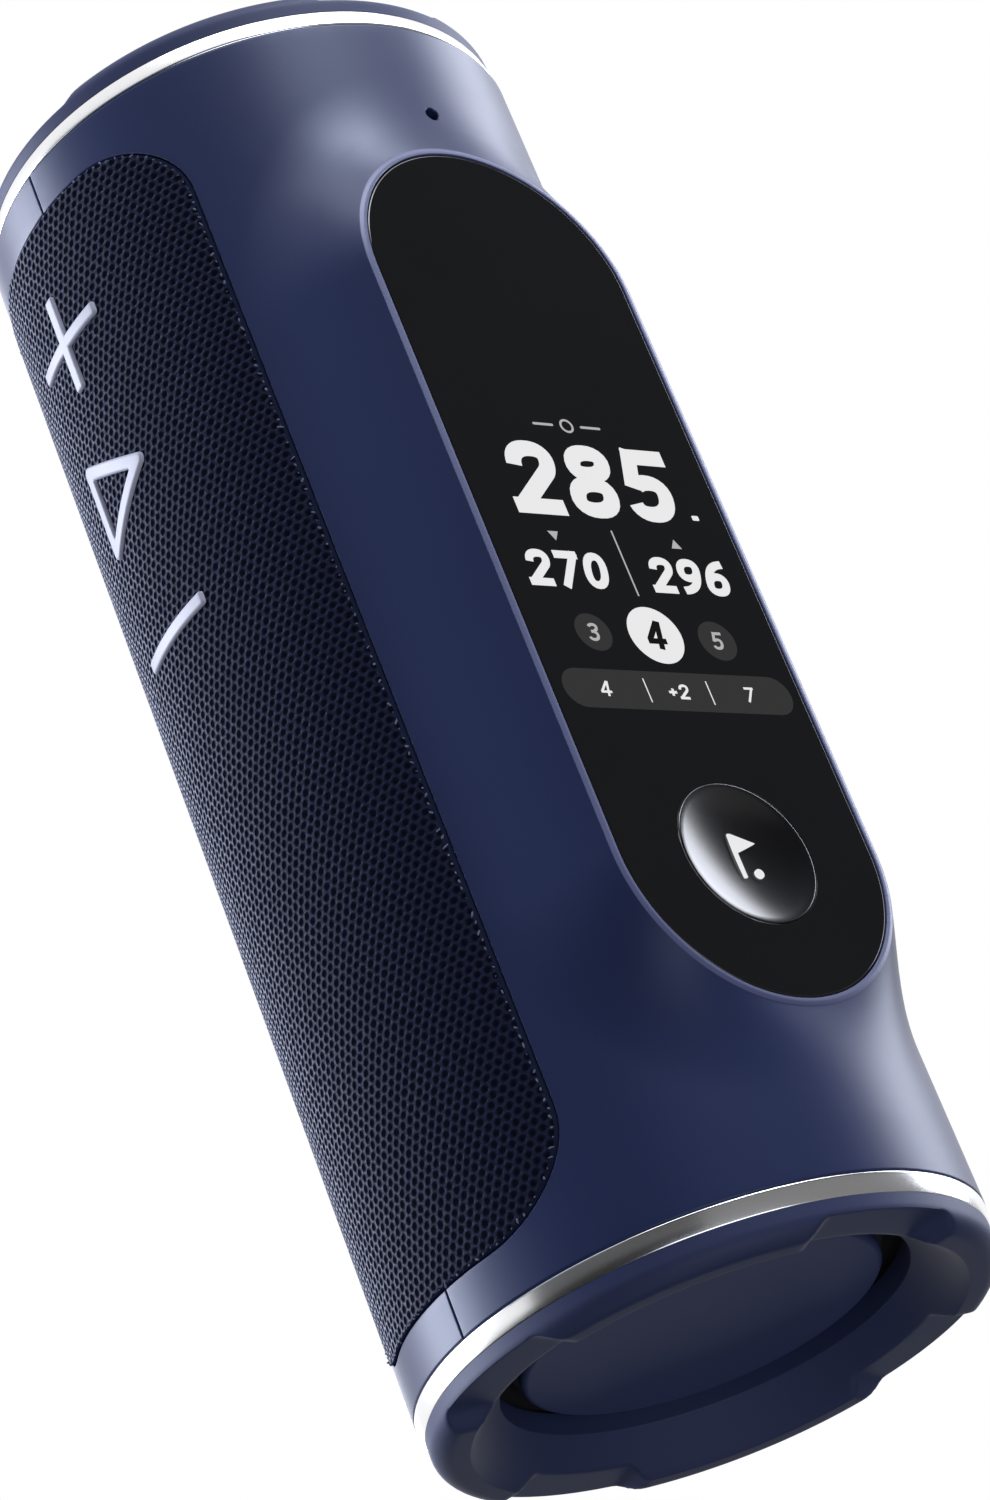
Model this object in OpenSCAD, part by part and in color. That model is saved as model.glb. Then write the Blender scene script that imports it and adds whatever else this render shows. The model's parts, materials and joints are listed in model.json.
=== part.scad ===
// Golf GPS speaker: an upright round casing with a raised display platform on its front,
// cloth grilles on both sides, steel trim rings and rubber end caps over passive radiators.
// The origin is at the bottom, on the axis. +Z runs up the casing and the display faces -Y.
// Azimuths are measured about +Z from the front, and are the same to the left and the right.

/* [Casing] */
// Outer diameter of the casing
casing_d = 80; // [78:1:88]
// Length of the casing between its two trim rings
casing_l = 188; // [184:1:220]
// Wall of the casing shells
shell_wall = 2.6; // [2.2:0.1:3]
// Height of the rib inside each end of the shells
rib_h = 1.5; // [1:0.1:2]
// How far the rib stands in from the shell wall
rib_w = 1.1; // [0.8:0.1:1.3]

/* [Display platform] */
// Distance from the axis to the flat face of the platform
face_f = 40.3; // [40.3:0.1:42]
// Width of the display glass
glass_w = 43.9; // [42:0.1:45]
// Distance from each end of the glass to the end of the casing, before the glass is shifted up
glass_margin = 24.65; // [23:0.05:28]
// Height of the glass centre above the middle of the casing
glass_up = 0.6; // [-3:0.1:4]
// Thickness of the glass
glass_t = 1.5; // [1.2:0.1:1.8]
// Step from the platform face down to the glass
glass_step = 0.1; // [0:0.05:0.3]
// Thickness of the foam gasket that the glass is stuck down with
gasket_t = 0.4; // [0.2:0.1:0.6]
// Gap around the glass
glass_gap = 0.15; // [0.1:0.05:0.3]
// Width of the rim around the glass
rim_w = 1.1; // [0.8:0.1:1.6]
// Chamfer on the outer edge of the rim
rim_chamfer = 0.25; // [0.1:0.05:0.25]
// Width of the ledge that carries the glass
ledge_w = 1.1; // [0.8:0.1:1.6]
// Azimuth at which the platform's flank runs into the casing
flank_az = 52; // [48:0.5:53]
// Angle at which the flank meets the casing
flank_crossing = 6; // [4:0.5:8]

/* [Main button] */
// Diameter of the main button
button_d = 21.6; // [19:0.2:23]
// Radial gap around the main button
button_gap = 0.1; // [0.05:0.05:0.2]
// Depth of the dish in the button's face
button_dish = 1.2; // [0.6:0.1:1.3]
// Width of the flat lip around the dish
button_lip = 0.6; // [0.3:0.1:1]
// Width of the flange that holds the button behind the glass
button_flange = 1.4; // [1:0.1:1.8]
// Thickness of that flange
button_flange_t = 1.2; // [1:0.1:1.3]
// Travel of the main button
button_travel = 0.6; // [0.3:0.1:0.7]

/* [Display stack] */
// Gap between the display panel and the opening in the ledge
lcd_gap = 1; // [0.75:0.25:3]
// Height of the foot of the display panel above the main button
lcd_foot = 6; // [5:0.5:11]
// Thickness of the display panel
lcd_t = 2.4; // [1.8:0.1:2.4]
// Height of the display panel's centre above the middle of the casing
lcd_up = 0; // [-2:0.5:4]
// Sheet thickness of the tray behind the display panel
tray_t = 0.6; // [0.4:0.1:0.6]
// Height of the tray's side walls
tray_wall_h = 1.6; // [0.8:0.1:1.8]
// Thickness of every circuit board
pcb_t = 1.2; // [0.8:0.1:1.2]
// Edge length of the satellite antenna patch
antenna_w = 18; // [14:0.5:20]
// Thickness of the satellite antenna patch
antenna_t = 2.4; // [1.8:0.1:2.6]

/* [Grilles] */
// Azimuth of the middle of each grille window
side_az = 97.5; // [96:0.5:100]
// Half the angle that a grille window spans on the casing
window_half = 42.5; // [38:0.5:43]
// Distance from each end of the casing to the grille window
window_end = 7.1; // [6.5:0.1:12]
// Corner radius of the grille window
window_corner = 13; // [8:0.5:15]
// Gap between each grille and its window
grille_gap = 0.15; // [0.1:0.05:0.3]
// Thickness of the cloth
cloth_t = 0.8; // [0.5:0.1:1]
// How far the cloth stands proud of the casing
cloth_proud = 0.15; // [0:0.05:0.3]
// Thickness of the moulded grille behind the cloth
grille_t = 3.05; // [2.8:0.05:3.2]
// Width of the flange on each upright edge of the grille
grille_flange = 2.5; // [1.5:0.1:2.8]
// Width of a sound slot in the grille
slot_w = 3; // [2:0.1:3.4]
// Height of a sound slot in the grille
slot_h = 9; // [6:0.2:10]
// Distance between sound slots across the grille
slot_pitch = 5; // [4.6:0.1:6]
// Distance between rows of sound slots
slot_row = 12; // [11.5:0.1:14]

/* [Keys] */
// Height of the middle key above the middle of the casing
keys_up = 42.6; // [38:0.2:46]
// Distance between neighbouring keys
key_pitch = 24.9; // [22:0.1:26]
// Width of the raised strokes on the keys
stroke_w = 2.2; // [1.6:0.1:2.6]
// Length of the plus and minus strokes around the casing
bar_l = 17.6; // [14:0.2:18]
// Length of the plus stroke along the casing
plus_l = 16; // [12:0.2:18]
// Height of the play triangle along the casing
play_h = 15.6; // [12:0.2:17]
// Width of the play triangle around the casing
play_w = 14.8; // [12:0.2:16]
// How far the strokes stand proud of the cloth
stroke_proud = 0.6; // [0.4:0.05:0.9]
// Gap around each stroke where it comes through the cloth
stroke_gap = 0.3; // [0.2:0.05:0.5]
// Radius of the pad under a key sign
pad_r = 10.4; // [10.4:0.1:11]
// Thickness of the pad
pad_t = 0.8; // [0.6:0.1:0.9]
// Radius of the key stem
stem_r = 2.1; // [1.6:0.1:2.4]
// Radial gap around the key stem
stem_gap = 0.1; // [0.05:0.01:0.15]
// Travel of a key
key_travel = 0.3; // [0.2:0.05:0.35]

/* [Chassis] */
// Gap between the chassis and the grilles around it
chassis_gap = 0.3; // [0.2:0.05:0.6]
// Wall of the chassis
chassis_wall = 2.2; // [1.8:0.1:2.4]
// Gap between the display board and the flat front of the chassis
board_clearance = 2.5; // [2.3:0.1:3.5]
// Depth of the flat sides of the chassis below the casing surface
side_inset = 10.5; // [10.4:0.1:11]

/* [End assemblies] */
// Height of each trim ring
ring_h = 2.9; // [2.4:0.1:4]
// How much the ring's radius shrinks towards its cap
ring_taper = 0.6; // [0.2:0.1:1]
// Bevel on the edge of each trim ring
ring_bevel = 0.25; // [0.1:0.05:0.4]
// How far each rubber cap stands out of its ring
cap_h = 4.2; // [3.8:0.1:6]
// Rounding of the cap's outer edge
cap_round = 2.6; // [1.6:0.1:3]
// Width of the flat lip that the speaker stands on
lip_w = 2.4; // [1.6:0.1:3]
// Depth of the four notches in the lip
notch_depth = 2; // [1:0.1:2.4]
// Half the angle that a notch spans at its floor
notch_half = 17; // [12:0.5:20]
// Depth of the cap's funnel at its inner edge
funnel_depth = 5.8; // [5:0.1:6.2]
// Distance of the funnel edge in an end cap inside the casing surface
funnel_inset = 11.4; // [10.8:0.1:12]
// Depth from the lip to the cap's seat on the end frame
cap_seat = 9; // [8.6:0.1:9.6]
// Distance of the edge of a radiator plate inside the casing surface
plate_inset = 14.8; // [14.4:0.1:17]
// Thickness of the radiator plate
plate_t = 2.4; // [2:0.1:2.8]
// Rounding of the radiator plate's edge
plate_round = 0.8; // [0.4:0.1:1.2]
// Radius of the weight on the radiator plate
weight_r = 14; // [8:0.5:18]
// Thickness of that weight
weight_t = 2.5; // [1.5:0.1:3]
// Thickness of the radiator's rubber surround
surround_t = 0.8; // [0.6:0.1:0.9]
// Radius of the surround's roll
roll_r = 2.9; // [2.6:0.1:2.9]
// Excursion of the radiator each way
radiator_travel = 3; // [1:0.5:3]
// Thickness of the end frame
frame_t = 3.5; // [3:0.1:4.5]
// Distance of the end screws inside the casing surface
bolt_inset = 5.9; // [5.9:0.1:6.1]
// Azimuth of the end screws, the same in each quarter
bolt_az = 45; // [38:1:52]
// Shank diameter of the end screws
bolt_d = 2.2; // [2:0.1:2.4]
// Shank length of the end screws
bolt_l = 12; // [10:0.5:14]

/* [Loudspeaker drivers] */
// Height of the driver centres above the base
driver_z = 62; // [56:0.5:70]
// Radius of the driver's flange
flange_r = 19.2; // [18.6:0.1:19.2]
// Thickness of the driver's flange
flange_t = 1; // [0.8:0.1:1]
// Radius of the driver's body where it passes the chassis
basket_r = 18; // [17.4:0.1:18.2]
// Radius of the magnet
magnet_r = 12; // [10:0.5:13]
// Depth of the magnet
magnet_t = 9; // [7:0.5:10]
// Radius of the voice coil
coil_r = 6.3; // [5.8:0.1:6.4]
// Excursion of the cone each way
cone_travel = 1.5; // [0.5:0.1:1.5]

/* [Power and electronics] */
// Diameter of a battery cell
cell_d = 18.4; // [14:0.1:18.6]
// Length of a battery cell
cell_l = 65.2; // [50:0.1:70]
// Distance from the top of the battery cells to the top of the speaker
cell_top = 29; // [25:1:33]
// Width of a magnet bar
magnet_bar_w = 8; // [6:0.5:10]
// Thickness of a magnet bar
magnet_bar_t = 3; // [2:0.5:4]
// Length of a magnet bar
magnet_bar_l = 45; // [30:1:50]
// Width of the charging board
charge_board_w = 18; // [14:0.5:20]
// Length of the charging board
charge_board_l = 14; // [10:0.5:16]
// Height of the charging port above the base
port_z = 30; // [28:0.5:34]
// Width of the port flap
flap_w = 15; // [13:0.5:18]
// Height of the port flap
flap_h = 9; // [8:0.5:11]
// Thickness of the port flap
flap_t = 1.4; // [1:0.1:1.5]
// Gap around the port flap
flap_gap = 0.25; // [0.15:0.05:0.4]
// Diameter of the microphone hole
mic_d = 2.1; // [1.4:0.1:2.6]
// Height of the microphone hole above the end of the glass
mic_rise = 7.85; // [6:0.05:10]

/* [Hidden] */
$fn = 96;
EPS = 1;                                   // overshoot of a cutting solid past a face
PI_DEG = PI / 180;

// Casing
R = casing_d / 2;
bore_r = R - shell_wall;
total_h = casing_l + 2 * (ring_h + cap_h);
mid_z = total_h / 2;
case_z0 = cap_h + ring_h;
frame_z = cap_seat + frame_t;              // inner face of the bottom end frame
chassis_z = frame_z + rib_h;               // lower end of the chassis

// Display platform
glass_z = mid_z + glass_up;
glass_r = glass_w / 2;
glass_straight = casing_l - glass_w - 2 * glass_margin;
half_straight = glass_straight / 2;
glass_front = face_f - glass_step;
glass_back = glass_front - glass_t;
ledge_f = glass_back - gasket_t;
pocket_r = glass_r + glass_gap;
opening_r = pocket_r - ledge_w;
rim_r = pocket_r + rim_w;
edge_f = face_f - rim_chamfer;
foot_x = R * sin(flank_az);
foot_f = R * cos(flank_az);
flank_nx = sin(flank_az - flank_crossing);
flank_nf = cos(flank_az - flank_crossing);
flank_dx = foot_x - rim_r;
flank_df = foot_f - edge_f;
flank_r = (flank_dx * flank_dx + flank_df * flank_df) / (-2 * (flank_dx * flank_nx + flank_df * flank_nf));

// Display stack
tray_f = glass_back - lcd_t;               // front of the tray's floor
board_front = tray_f - tray_t;
board_back = board_front - pcb_t;
mic_board_f = bore_r - 1.6;                // front of the microphone board
chassis_front = min(board_back, mic_board_f - pcb_t) - board_clearance;
board_gap = 0.6;
board_r = opening_r - board_gap;
screw_r = 1;
screw_gap = 0.1;
head_r = 1.9;
head_t = 1.1;
lug_r = 3;
lug_x = 12.5;
lug_z = 14;
lcd_w = 2 * (opening_r - lcd_gap);
antenna_z = glass_z + half_straight;
button_z = glass_z - half_straight;
mic_z = glass_z + half_straight + glass_r + mic_rise;
button_r = button_d / 2;
lcd_z = mid_z + lcd_up;
lcd_h = 2 * (lcd_z - button_z - button_r - lcd_foot);
button_hole = button_r + button_gap;
flange_front = glass_back - 0.1;
flange_back = flange_front - button_flange_t;
dish_r = button_r - button_lip;
dish_sphere = (dish_r * dish_r + button_dish * button_dish) / (2 * button_dish);
switch_w = 6.2;
switch_f = flange_back - button_travel - 0.15;
plunger_r = 1.2;
plunger_gap = 0.05;
plunger_f = board_front + 0.15 + button_travel;

// Grilles
win_half_w = R * sin(window_half);
win_half_h = casing_l / 2 - window_end;
cloth_r = R + cloth_proud;
grille_r = cloth_r - cloth_t;
grille_in = grille_r - grille_t;
slot_cols = floor((win_half_w - 6) / slot_pitch);
slot_top = key_z(-1) - pad_r - 4;
slot_bottom = mid_z - win_half_h + window_corner;
slot_rows = floor((slot_top - slot_bottom - slot_h) / slot_row);

// Keys
KEYS = ["plus", "play", "minus"];
CORNER_STEPS = 3;                          // facets of a play triangle corner
function key_z(place) = mid_z + keys_up + place * key_pitch;
pad_top = grille_r - 0.1;
pad_bottom = pad_top - pad_t;
well_r = pad_bottom - key_travel - 0.1;    // floor of the wells that the pads sink into
stroke_top = cloth_r + stroke_proud;
chassis_side = R - side_inset;
key_board_w = 14;
key_board_end = 9;                         // how far the board runs past the outer keys
key_board_f = chassis_side + 1.9;          // front of the key board
key_switch_w = 6;
key_switch_h = 1.8;
key_switch_f = key_board_f + key_switch_h;
stem_f = key_switch_f + key_travel + 0.1;
pin_r = 0.9;
pin_f = key_board_f + key_travel + 0.3;

// Chassis
chassis_r = grille_in - chassis_gap;
chassis_in = chassis_r - chassis_wall;
bolt_r = R - bolt_inset;
boss_r = chassis_r - bolt_r - 0.05;

// End assemblies
lip_outer = R - ring_taper - cap_round;
lip_inner = lip_outer - lip_w;
plug_r = bore_r - 0.2;                     // what passes inside the ring and the casing
plate_r = R - plate_inset;
funnel_r = R - funnel_inset;
frame_in = plate_r + 2 * roll_r + 0.6;
roll_mid = plate_r + roll_r;
seat_r = frame_in + 1.2;                   // outer radius of the surround's clamped edge
plate_z = cap_seat - plate_t;
bolt_head_r = 2;
bolt_head_t = 1.8;

// Drivers
flange_f = chassis_side + flange_t;
surround_f = flange_f - 2.5;
magnet_f = flange_f - 12;                  // front of the magnet
basket_t = 1.2;
cone_edge = flange_r - 5;
cone_t = 0.6;
roll_small = 1.5;

// Power and electronics
usb_w = 8.94;
usb_h = 3.26;
usb_l = 9;
usb_gap = 0.2;
charge_board_gap = 2;                      // from the chassis wall to the board
magnet_bar_gap = 0.1;
magnet_low = 20;                           // lower bar above the port
magnet_high = 8;                           // upper bar above the foot of the cells
main_screw_bite = 2.6;                     // main board screws past the board
flap_in = R - flap_t;
flap_z0 = port_z - flap_h / 2;
main_w = 36;
main_h = 76;
main_low = 5.1;                            // lower edge of the main board under the middle
main_z = mid_z - main_low;
main_corner_r = chassis_in - 0.3;          // what the main board's edges stay inside
main_f = min(chassis_front - chassis_wall - 2, sqrt(pow(main_corner_r, 2) - pow(main_w / 2, 2)));
cell_z = total_h - cell_top - cell_l;
cell_x = cell_d / 2 + 0.3;
cell_y = 6;

// ---------------------------------------------------------------- shared shapes

module tube(outer, inner, h) {
    difference() {
        cylinder(r = outer, h = h);
        translate([0, 0, -EPS]) cylinder(r = inner, h = h + 2 * EPS);
    }
}

// Stands a flat outline upright, facing the front, from distance f0 to f1 off the axis
module forward(f0, f1) {
    translate([0, -f0, 0]) rotate([90, 0, 0]) linear_extrude(height = f1 - f0) children();
}

// Turns a piece made facing the front to the left (-1) or the right (1) grille
module side(hand) {
    rotate([0, 0, hand * side_az]) children();
}

// Places a piece at the bottom end, or mirrors it to the top end
module at_end(end) {
    if (end == "bottom") children();
    else translate([0, 0, total_h]) mirror([0, 0, 1]) children();
}

module pill_2d(r) {
    translate([0, glass_z - half_straight]) circle(r = r);
    translate([0, glass_z + half_straight]) circle(r = r);
    translate([-r, glass_z - half_straight]) square([2 * r, glass_straight]);
}

module rounded_2d(half_w, half_h, r) {
    translate([-half_w + r, -half_h]) square([2 * (half_w - r), 2 * half_h]);
    translate([-half_w, -half_h + r]) square([2 * half_w, 2 * (half_h - r)]);
    for (sx = [-1, 1], sz = [-1, 1])
        translate([sx * (half_w - r), sz * (half_h - r)]) circle(r = r);
}

module window(shrink, f0) {
    translate([0, 0, mid_z]) forward(f0, R + 3)
        rounded_2d(win_half_w - shrink, win_half_h - shrink, window_corner - shrink);
}

// A stroke with round ends from one point to another
module stroke_2d(a, b, w) {
    d = b - a;
    translate(a) circle(d = w);
    translate(b) circle(d = w);
    translate(a) rotate(atan2(d[1], d[0])) translate([0, -w / 2]) square([norm(d), w]);
}

module board_screws_at(places, f, l) {
    for (p = places)
        translate([p[0], 0, p[1]]) {
            forward(f, f + l) circle(r = screw_r);
            forward(f - head_t, f) circle(r = head_r);
        }
}

// ---------------------------------------------------------------- casing

// Half section of the platform: distance from the glass's centre line, then forward distance
module platform_2d() {
    difference() {
        polygon([[0, foot_f - 5], [0, face_f], [rim_r - rim_chamfer, face_f], [rim_r, edge_f],
                 [foot_x, edge_f], [foot_x, foot_f - 5]]);
        translate([foot_x + flank_r * flank_nx, foot_f + flank_r * flank_nf])
            circle(r = flank_r, $fn = 360);
    }
}

module platform() {
    translate([0, 0, glass_z - half_straight]) linear_extrude(height = glass_straight)
        for (hand = [0, 1]) mirror([hand, 0]) mirror([0, 1]) platform_2d();
    for (end = [-1, 1])
        translate([0, 0, glass_z + end * half_straight]) rotate([90, 0, 0])
            rotate_extrude() platform_2d();
}

module rib(end) {
    at_end(end) translate([0, 0, frame_z]) tube(bore_r + 0.3, bore_r - rib_w, rib_h);
}

module lug_places() {
    for (sx = [-1, 1], end = [-1, 1])
        translate([sx * lug_x, 0, glass_z + end * (half_straight + lug_z)]) children();
}

LUGS = [for (sx = [-1, 1], end = [-1, 1]) [sx * lug_x, glass_z + end * (half_straight + lug_z)]];

module front_shell() {
    color("#232a52") difference() {
        union() {
            difference() {
                union() {
                    translate([0, 0, case_z0]) cylinder(r = R, h = casing_l);
                    platform();
                }
                translate([0, 0, case_z0 - EPS]) cylinder(r = bore_r, h = casing_l + 2 * EPS);
                forward(ledge_f, face_f + EPS) pill_2d(pocket_r);
                forward(foot_f, ledge_f + EPS) pill_2d(opening_r);
            }
            lug_places() forward(board_front, ledge_f) circle(r = lug_r);
            rib("bottom");
            rib("top");
        }
        lug_places() forward(board_front - EPS, ledge_f - 0.6) circle(r = screw_r + screw_gap);
        translate([0, 0, mic_z]) forward(bore_r - EPS, R + EPS) circle(d = mic_d);
        for (hand = [-1, 1]) side(hand) window(0, 10);
        translate([-R - EPS, 0, 0]) cube([casing_d + 2 * EPS, R + EPS, total_h]);
    }
}

module flap_2d(grow) {
    translate([0, port_z]) rounded_2d(flap_w / 2 + grow, flap_h / 2 + grow, 1.5 + grow);
}

// Turns a piece made facing the front to the rear
module rear() {
    rotate([0, 0, 180]) children();
}

module rear_shell() {
    color("#232a52") difference() {
        union() {
            translate([0, 0, case_z0]) tube(R, bore_r, casing_l);
            rib("bottom");
            rib("top");
        }
        for (hand = [-1, 1]) side(hand) window(0, 10);
        rear() intersection() {
            tube(R + EPS, flap_in, total_h);
            forward(bore_r - 3, R + EPS) flap_2d(flap_gap);
        }
        rear() forward(bore_r - 3, R)
            translate([0, port_z]) rounded_2d(usb_w / 2 + 0.6, usb_h / 2 + 0.6, 1.5);
        translate([-R - EPS, -R - EPS, 0]) cube([casing_d + 2 * EPS, R + EPS, total_h]);
    }
}

module port_flap() {
    color("#1b2040") rear() {
        intersection() {
            tube(R, flap_in + 0.1, total_h);
            forward(bore_r - 3, R + EPS) flap_2d(0);
        }
        forward(bore_r + 0.1, flap_in + 0.5)
            translate([0, port_z]) rounded_2d(usb_w / 2 - 0.6, usb_h / 2 - 0.5, 1);
    }
}

// ---------------------------------------------------------------- grilles and keys

module key_wells() {
    for (place = [-1:1]) translate([0, 0, key_z(place)]) {
        intersection() {
            translate([0, 0, -pad_r - 2]) tube(R + 3, well_r, 2 * pad_r + 4);
            forward(10, R + 2) circle(r = pad_r + stroke_gap);
        }
        forward(10, R) circle(r = stem_r + stem_gap);
    }
}

module grille(hand) {
    color("#15192b") side(hand) difference() {
        intersection() {
            union() {
                intersection() {
                    tube(grille_r, grille_in, total_h);
                    window(grille_gap, 10);
                }
                intersection() {
                    tube(bore_r, grille_in, total_h);
                    translate([0, 0, mid_z]) forward(10, R)
                        square([2 * (win_half_w + grille_flange), 2 * (win_half_h - window_corner)], true);
                }
            }
            translate([-R, -R - EPS, 0]) cube([casing_d, R, total_h]);
        }
        for (col = [-slot_cols:slot_cols], row = [0:slot_rows])
            translate([col * slot_pitch - slot_w / 2, -R - EPS, slot_bottom + row * slot_row])
                cube([slot_w, R - 10, slot_h]);
        if (hand < 0) key_wells();
    }
}

// A triangle that points around the casing, with its corners grown by r
module triangle_2d(r) {
    dx = play_w / 2 - stroke_w / 2;
    dz = play_h / 2 - stroke_w / 2;
    lean = 90 - atan2(dz, 2 * dx);
    corners = [[[dx, 0], -lean, lean], [[-dx, dz], lean, 180], [[-dx, -dz], 180, 360 - lean]];
    polygon([for (c = corners) for (k = [0:CORNER_STEPS])
        let (turn = c[1] + (c[2] - c[1]) * k / CORNER_STEPS)
        c[0] + r * [cos(turn), sin(turn)]]);
}

// The triangle's inner edge, a stroke's half width inside its centre line
module triangle_hole_2d() {
    dx = play_w / 2 - stroke_w / 2;
    dz = play_h / 2 - stroke_w / 2;
    slant = atan2(dz, 2 * dx);
    left = -dx + stroke_w / 2;
    right = dx - stroke_w / 2 / sin(slant);
    half_h = (right - left) * tan(slant);
    polygon([[left, -half_h], [right, 0], [left, half_h]]);
}

// The raised sign on a key, with its strokes grown by r
module symbol_2d(kind, r) {
    w = stroke_w + 2 * r;
    reach = (bar_l - stroke_w) / 2;
    rise = (plus_l - stroke_w) / 2;
    if (kind != "play") stroke_2d([-reach, 0], [reach, 0], w);
    if (kind == "plus") stroke_2d([0, -rise], [0, rise], w);
    if (kind == "play") triangle_2d(w / 2);
}

module cloth(hand) {
    color("#1d2238") side(hand) difference() {
        intersection() {
            tube(cloth_r, grille_r, total_h);
            window(grille_gap, 10);
            translate([-R - 1, -R - 2, 0]) cube([casing_d + 2, R + 2, total_h]);
        }
        if (hand < 0) for (i = [0:2]) translate([0, 0, key_z(1 - i)])
            forward(10, R + 2) symbol_2d(KEYS[i], stroke_gap);
    }
}

module key(i) {
    color("#c6c9de") side(-1) translate([0, 0, key_z(1 - i)]) {
        intersection() {
            translate([0, 0, -pad_r - 2]) tube(pad_top, pad_bottom, 2 * pad_r + 4);
            forward(10, R + 2) circle(r = pad_r);
        }
        intersection() {
            translate([0, 0, -pad_r - 2]) tube(stroke_top, pad_bottom + pad_t / 2, 2 * pad_r + 4);
            forward(10, R + 2) difference() {
                symbol_2d(KEYS[i], 0);
                if (KEYS[i] == "play") triangle_hole_2d();
            }
        }
        forward(stem_f, pad_bottom + pad_t / 2) circle(r = stem_r);
        forward(pin_f, stem_f + EPS) circle(r = pin_r);
    }
}

module key_board() {
    color("#2c6b3f") side(-1) forward(key_board_f - pcb_t, key_board_f)
        translate([-key_board_w / 2, key_z(-1) - key_board_end])
            square([key_board_w, 2 * (key_pitch + key_board_end)]);
}

module key_switches() {
    color("#b9bcc4") side(-1) for (place = [-1:1]) translate([0, 0, key_z(place)]) difference() {
        forward(key_board_f, key_switch_f) square(key_switch_w, true);
        forward(pin_f - key_travel - 0.1, key_switch_f + EPS) circle(r = pin_r + plunger_gap);
    }
}

// ---------------------------------------------------------------- display

module display_glass() {
    color("#141416") difference() {
        forward(glass_back, glass_front) pill_2d(glass_r);
        translate([0, 0, button_z]) forward(glass_back - EPS, glass_front + EPS) circle(r = button_hole);
    }
}

module glass_gasket() {
    color("#303034") difference() {
        forward(ledge_f, glass_back) pill_2d(glass_r);
        forward(ledge_f - EPS, glass_back + EPS) pill_2d(opening_r);
    }
}

module display_panel() {
    color("#0c0d12") translate([0, 0, lcd_z]) forward(tray_f, glass_back) square([lcd_w, lcd_h], true);
}

module panel_tray() {
    color("#9a9ca3") translate([0, 0, lcd_z]) difference() {
        forward(board_front, tray_f + tray_wall_h) square([lcd_w + 2 * tray_t, lcd_h + 2 * tray_t], true);
        forward(tray_f, tray_f + tray_wall_h + EPS) square([lcd_w, lcd_h], true);
    }
}

module display_board() {
    color("#2c6b3f") difference() {
        forward(board_back, board_front) pill_2d(board_r);
        lug_places() forward(board_back - EPS, board_front + EPS) circle(r = screw_r + screw_gap);
    }
}

module display_screws() {
    color("silver") board_screws_at(LUGS, board_back, pcb_t + ledge_f - board_front - 0.8);
}

module satellite_antenna() {
    color("#cfc3a6") translate([0, 0, antenna_z]) forward(board_front, board_front + antenna_t)
        rounded_2d(antenna_w / 2, antenna_w / 2, 1);
}

module main_button() {
    color("#08080a") translate([0, 0, button_z]) {
        difference() {
            union() {
                forward(flange_back, glass_front) circle(r = button_r);
                forward(flange_back, flange_front) circle(r = button_r + button_flange);
            }
            translate([0, -glass_front - dish_sphere + button_dish, 0]) sphere(r = dish_sphere, $fn = 128);
        }
        forward(plunger_f, flange_back + 0.2) circle(r = plunger_r);
    }
}

module button_switch() {
    color("#b9bcc4") translate([0, 0, button_z]) difference() {
        forward(board_front, switch_f) square(switch_w, true);
        forward(board_front + 0.1, switch_f + EPS) circle(r = plunger_r + plunger_gap);
    }
}

// The microphone's parts stand behind its hole in the front shell
module mic_at() {
    translate([0, 0, mic_z]) children();
}

module mic_mesh() {
    color("#3a3c44") mic_at() forward(bore_r - 0.5, bore_r - 0.2) circle(d = mic_d + 2.6);
}

module mic_capsule() {
    color("#b9bcc4") mic_at() forward(mic_board_f, bore_r - 0.5) square([3.8, 3], true);
}

module mic_board() {
    color("#2c6b3f") mic_at() forward(mic_board_f - pcb_t, mic_board_f) square([9, 6], true);
}

// ---------------------------------------------------------------- chassis and electronics

// Outline of the chassis, moved inwards by a wall
module chassis_2d(wall) {
    intersection() {
        circle(r = chassis_r - wall);
        translate([-R, -chassis_front + wall]) square([casing_d, casing_d]);
        intersection_for(hand = [-1, 1]) rotate(hand * side_az)
            translate([-R, -chassis_side + wall]) square([casing_d, casing_d]);
    }
}

module end_bolts() {
    for (quarter = [bolt_az, 180 - bolt_az, 180 + bolt_az, 360 - bolt_az])
        rotate([0, 0, quarter]) translate([0, -bolt_r, 0]) children();
}

module chassis() {
    color("#26282f") difference() {
        union() {
            translate([0, 0, chassis_z]) linear_extrude(height = total_h - 2 * chassis_z) difference() {
                chassis_2d(0);
                chassis_2d(chassis_wall);
            }
            for (end = ["bottom", "top"]) at_end(end) translate([0, 0, frame_z]) end_bolts()
                cylinder(r = boss_r, h = bolt_l + 2);
            side(-1) for (place = [-0.5, 0.5]) translate([0, 0, key_z(place)])
                forward(chassis_side - 0.4, key_board_f - pcb_t) circle(r = 2);
            for (p = main_posts()) translate([p[0], 0, p[1]])
                forward(main_f, chassis_front - chassis_wall + 0.4) circle(r = 2.4);
        }
        for (end = ["bottom", "top"]) at_end(end) translate([0, 0, frame_z - EPS]) end_bolts()
            cylinder(r = bolt_d / 2 + 0.05, h = bolt_l + 2);
        for (hand = [-1, 1]) side(hand) translate([0, 0, driver_z])
            forward(chassis_side - 8, R) circle(r = basket_r + 0.1);
        rear() translate([0, 0, port_z]) forward(20, R)
            square([usb_w + 2 * usb_gap, usb_h + 2 * usb_gap], true);
        for (p = main_posts()) translate([p[0], 0, p[1]])
            forward(main_f - EPS, chassis_front - 0.8) circle(r = screw_r + screw_gap);
    }
}

function main_posts() = [for (sx = [-1, 1], sz = [0, 1])
    [sx * (main_w / 2 - 4), main_z + 4 + sz * (main_h - 8)]];

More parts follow.
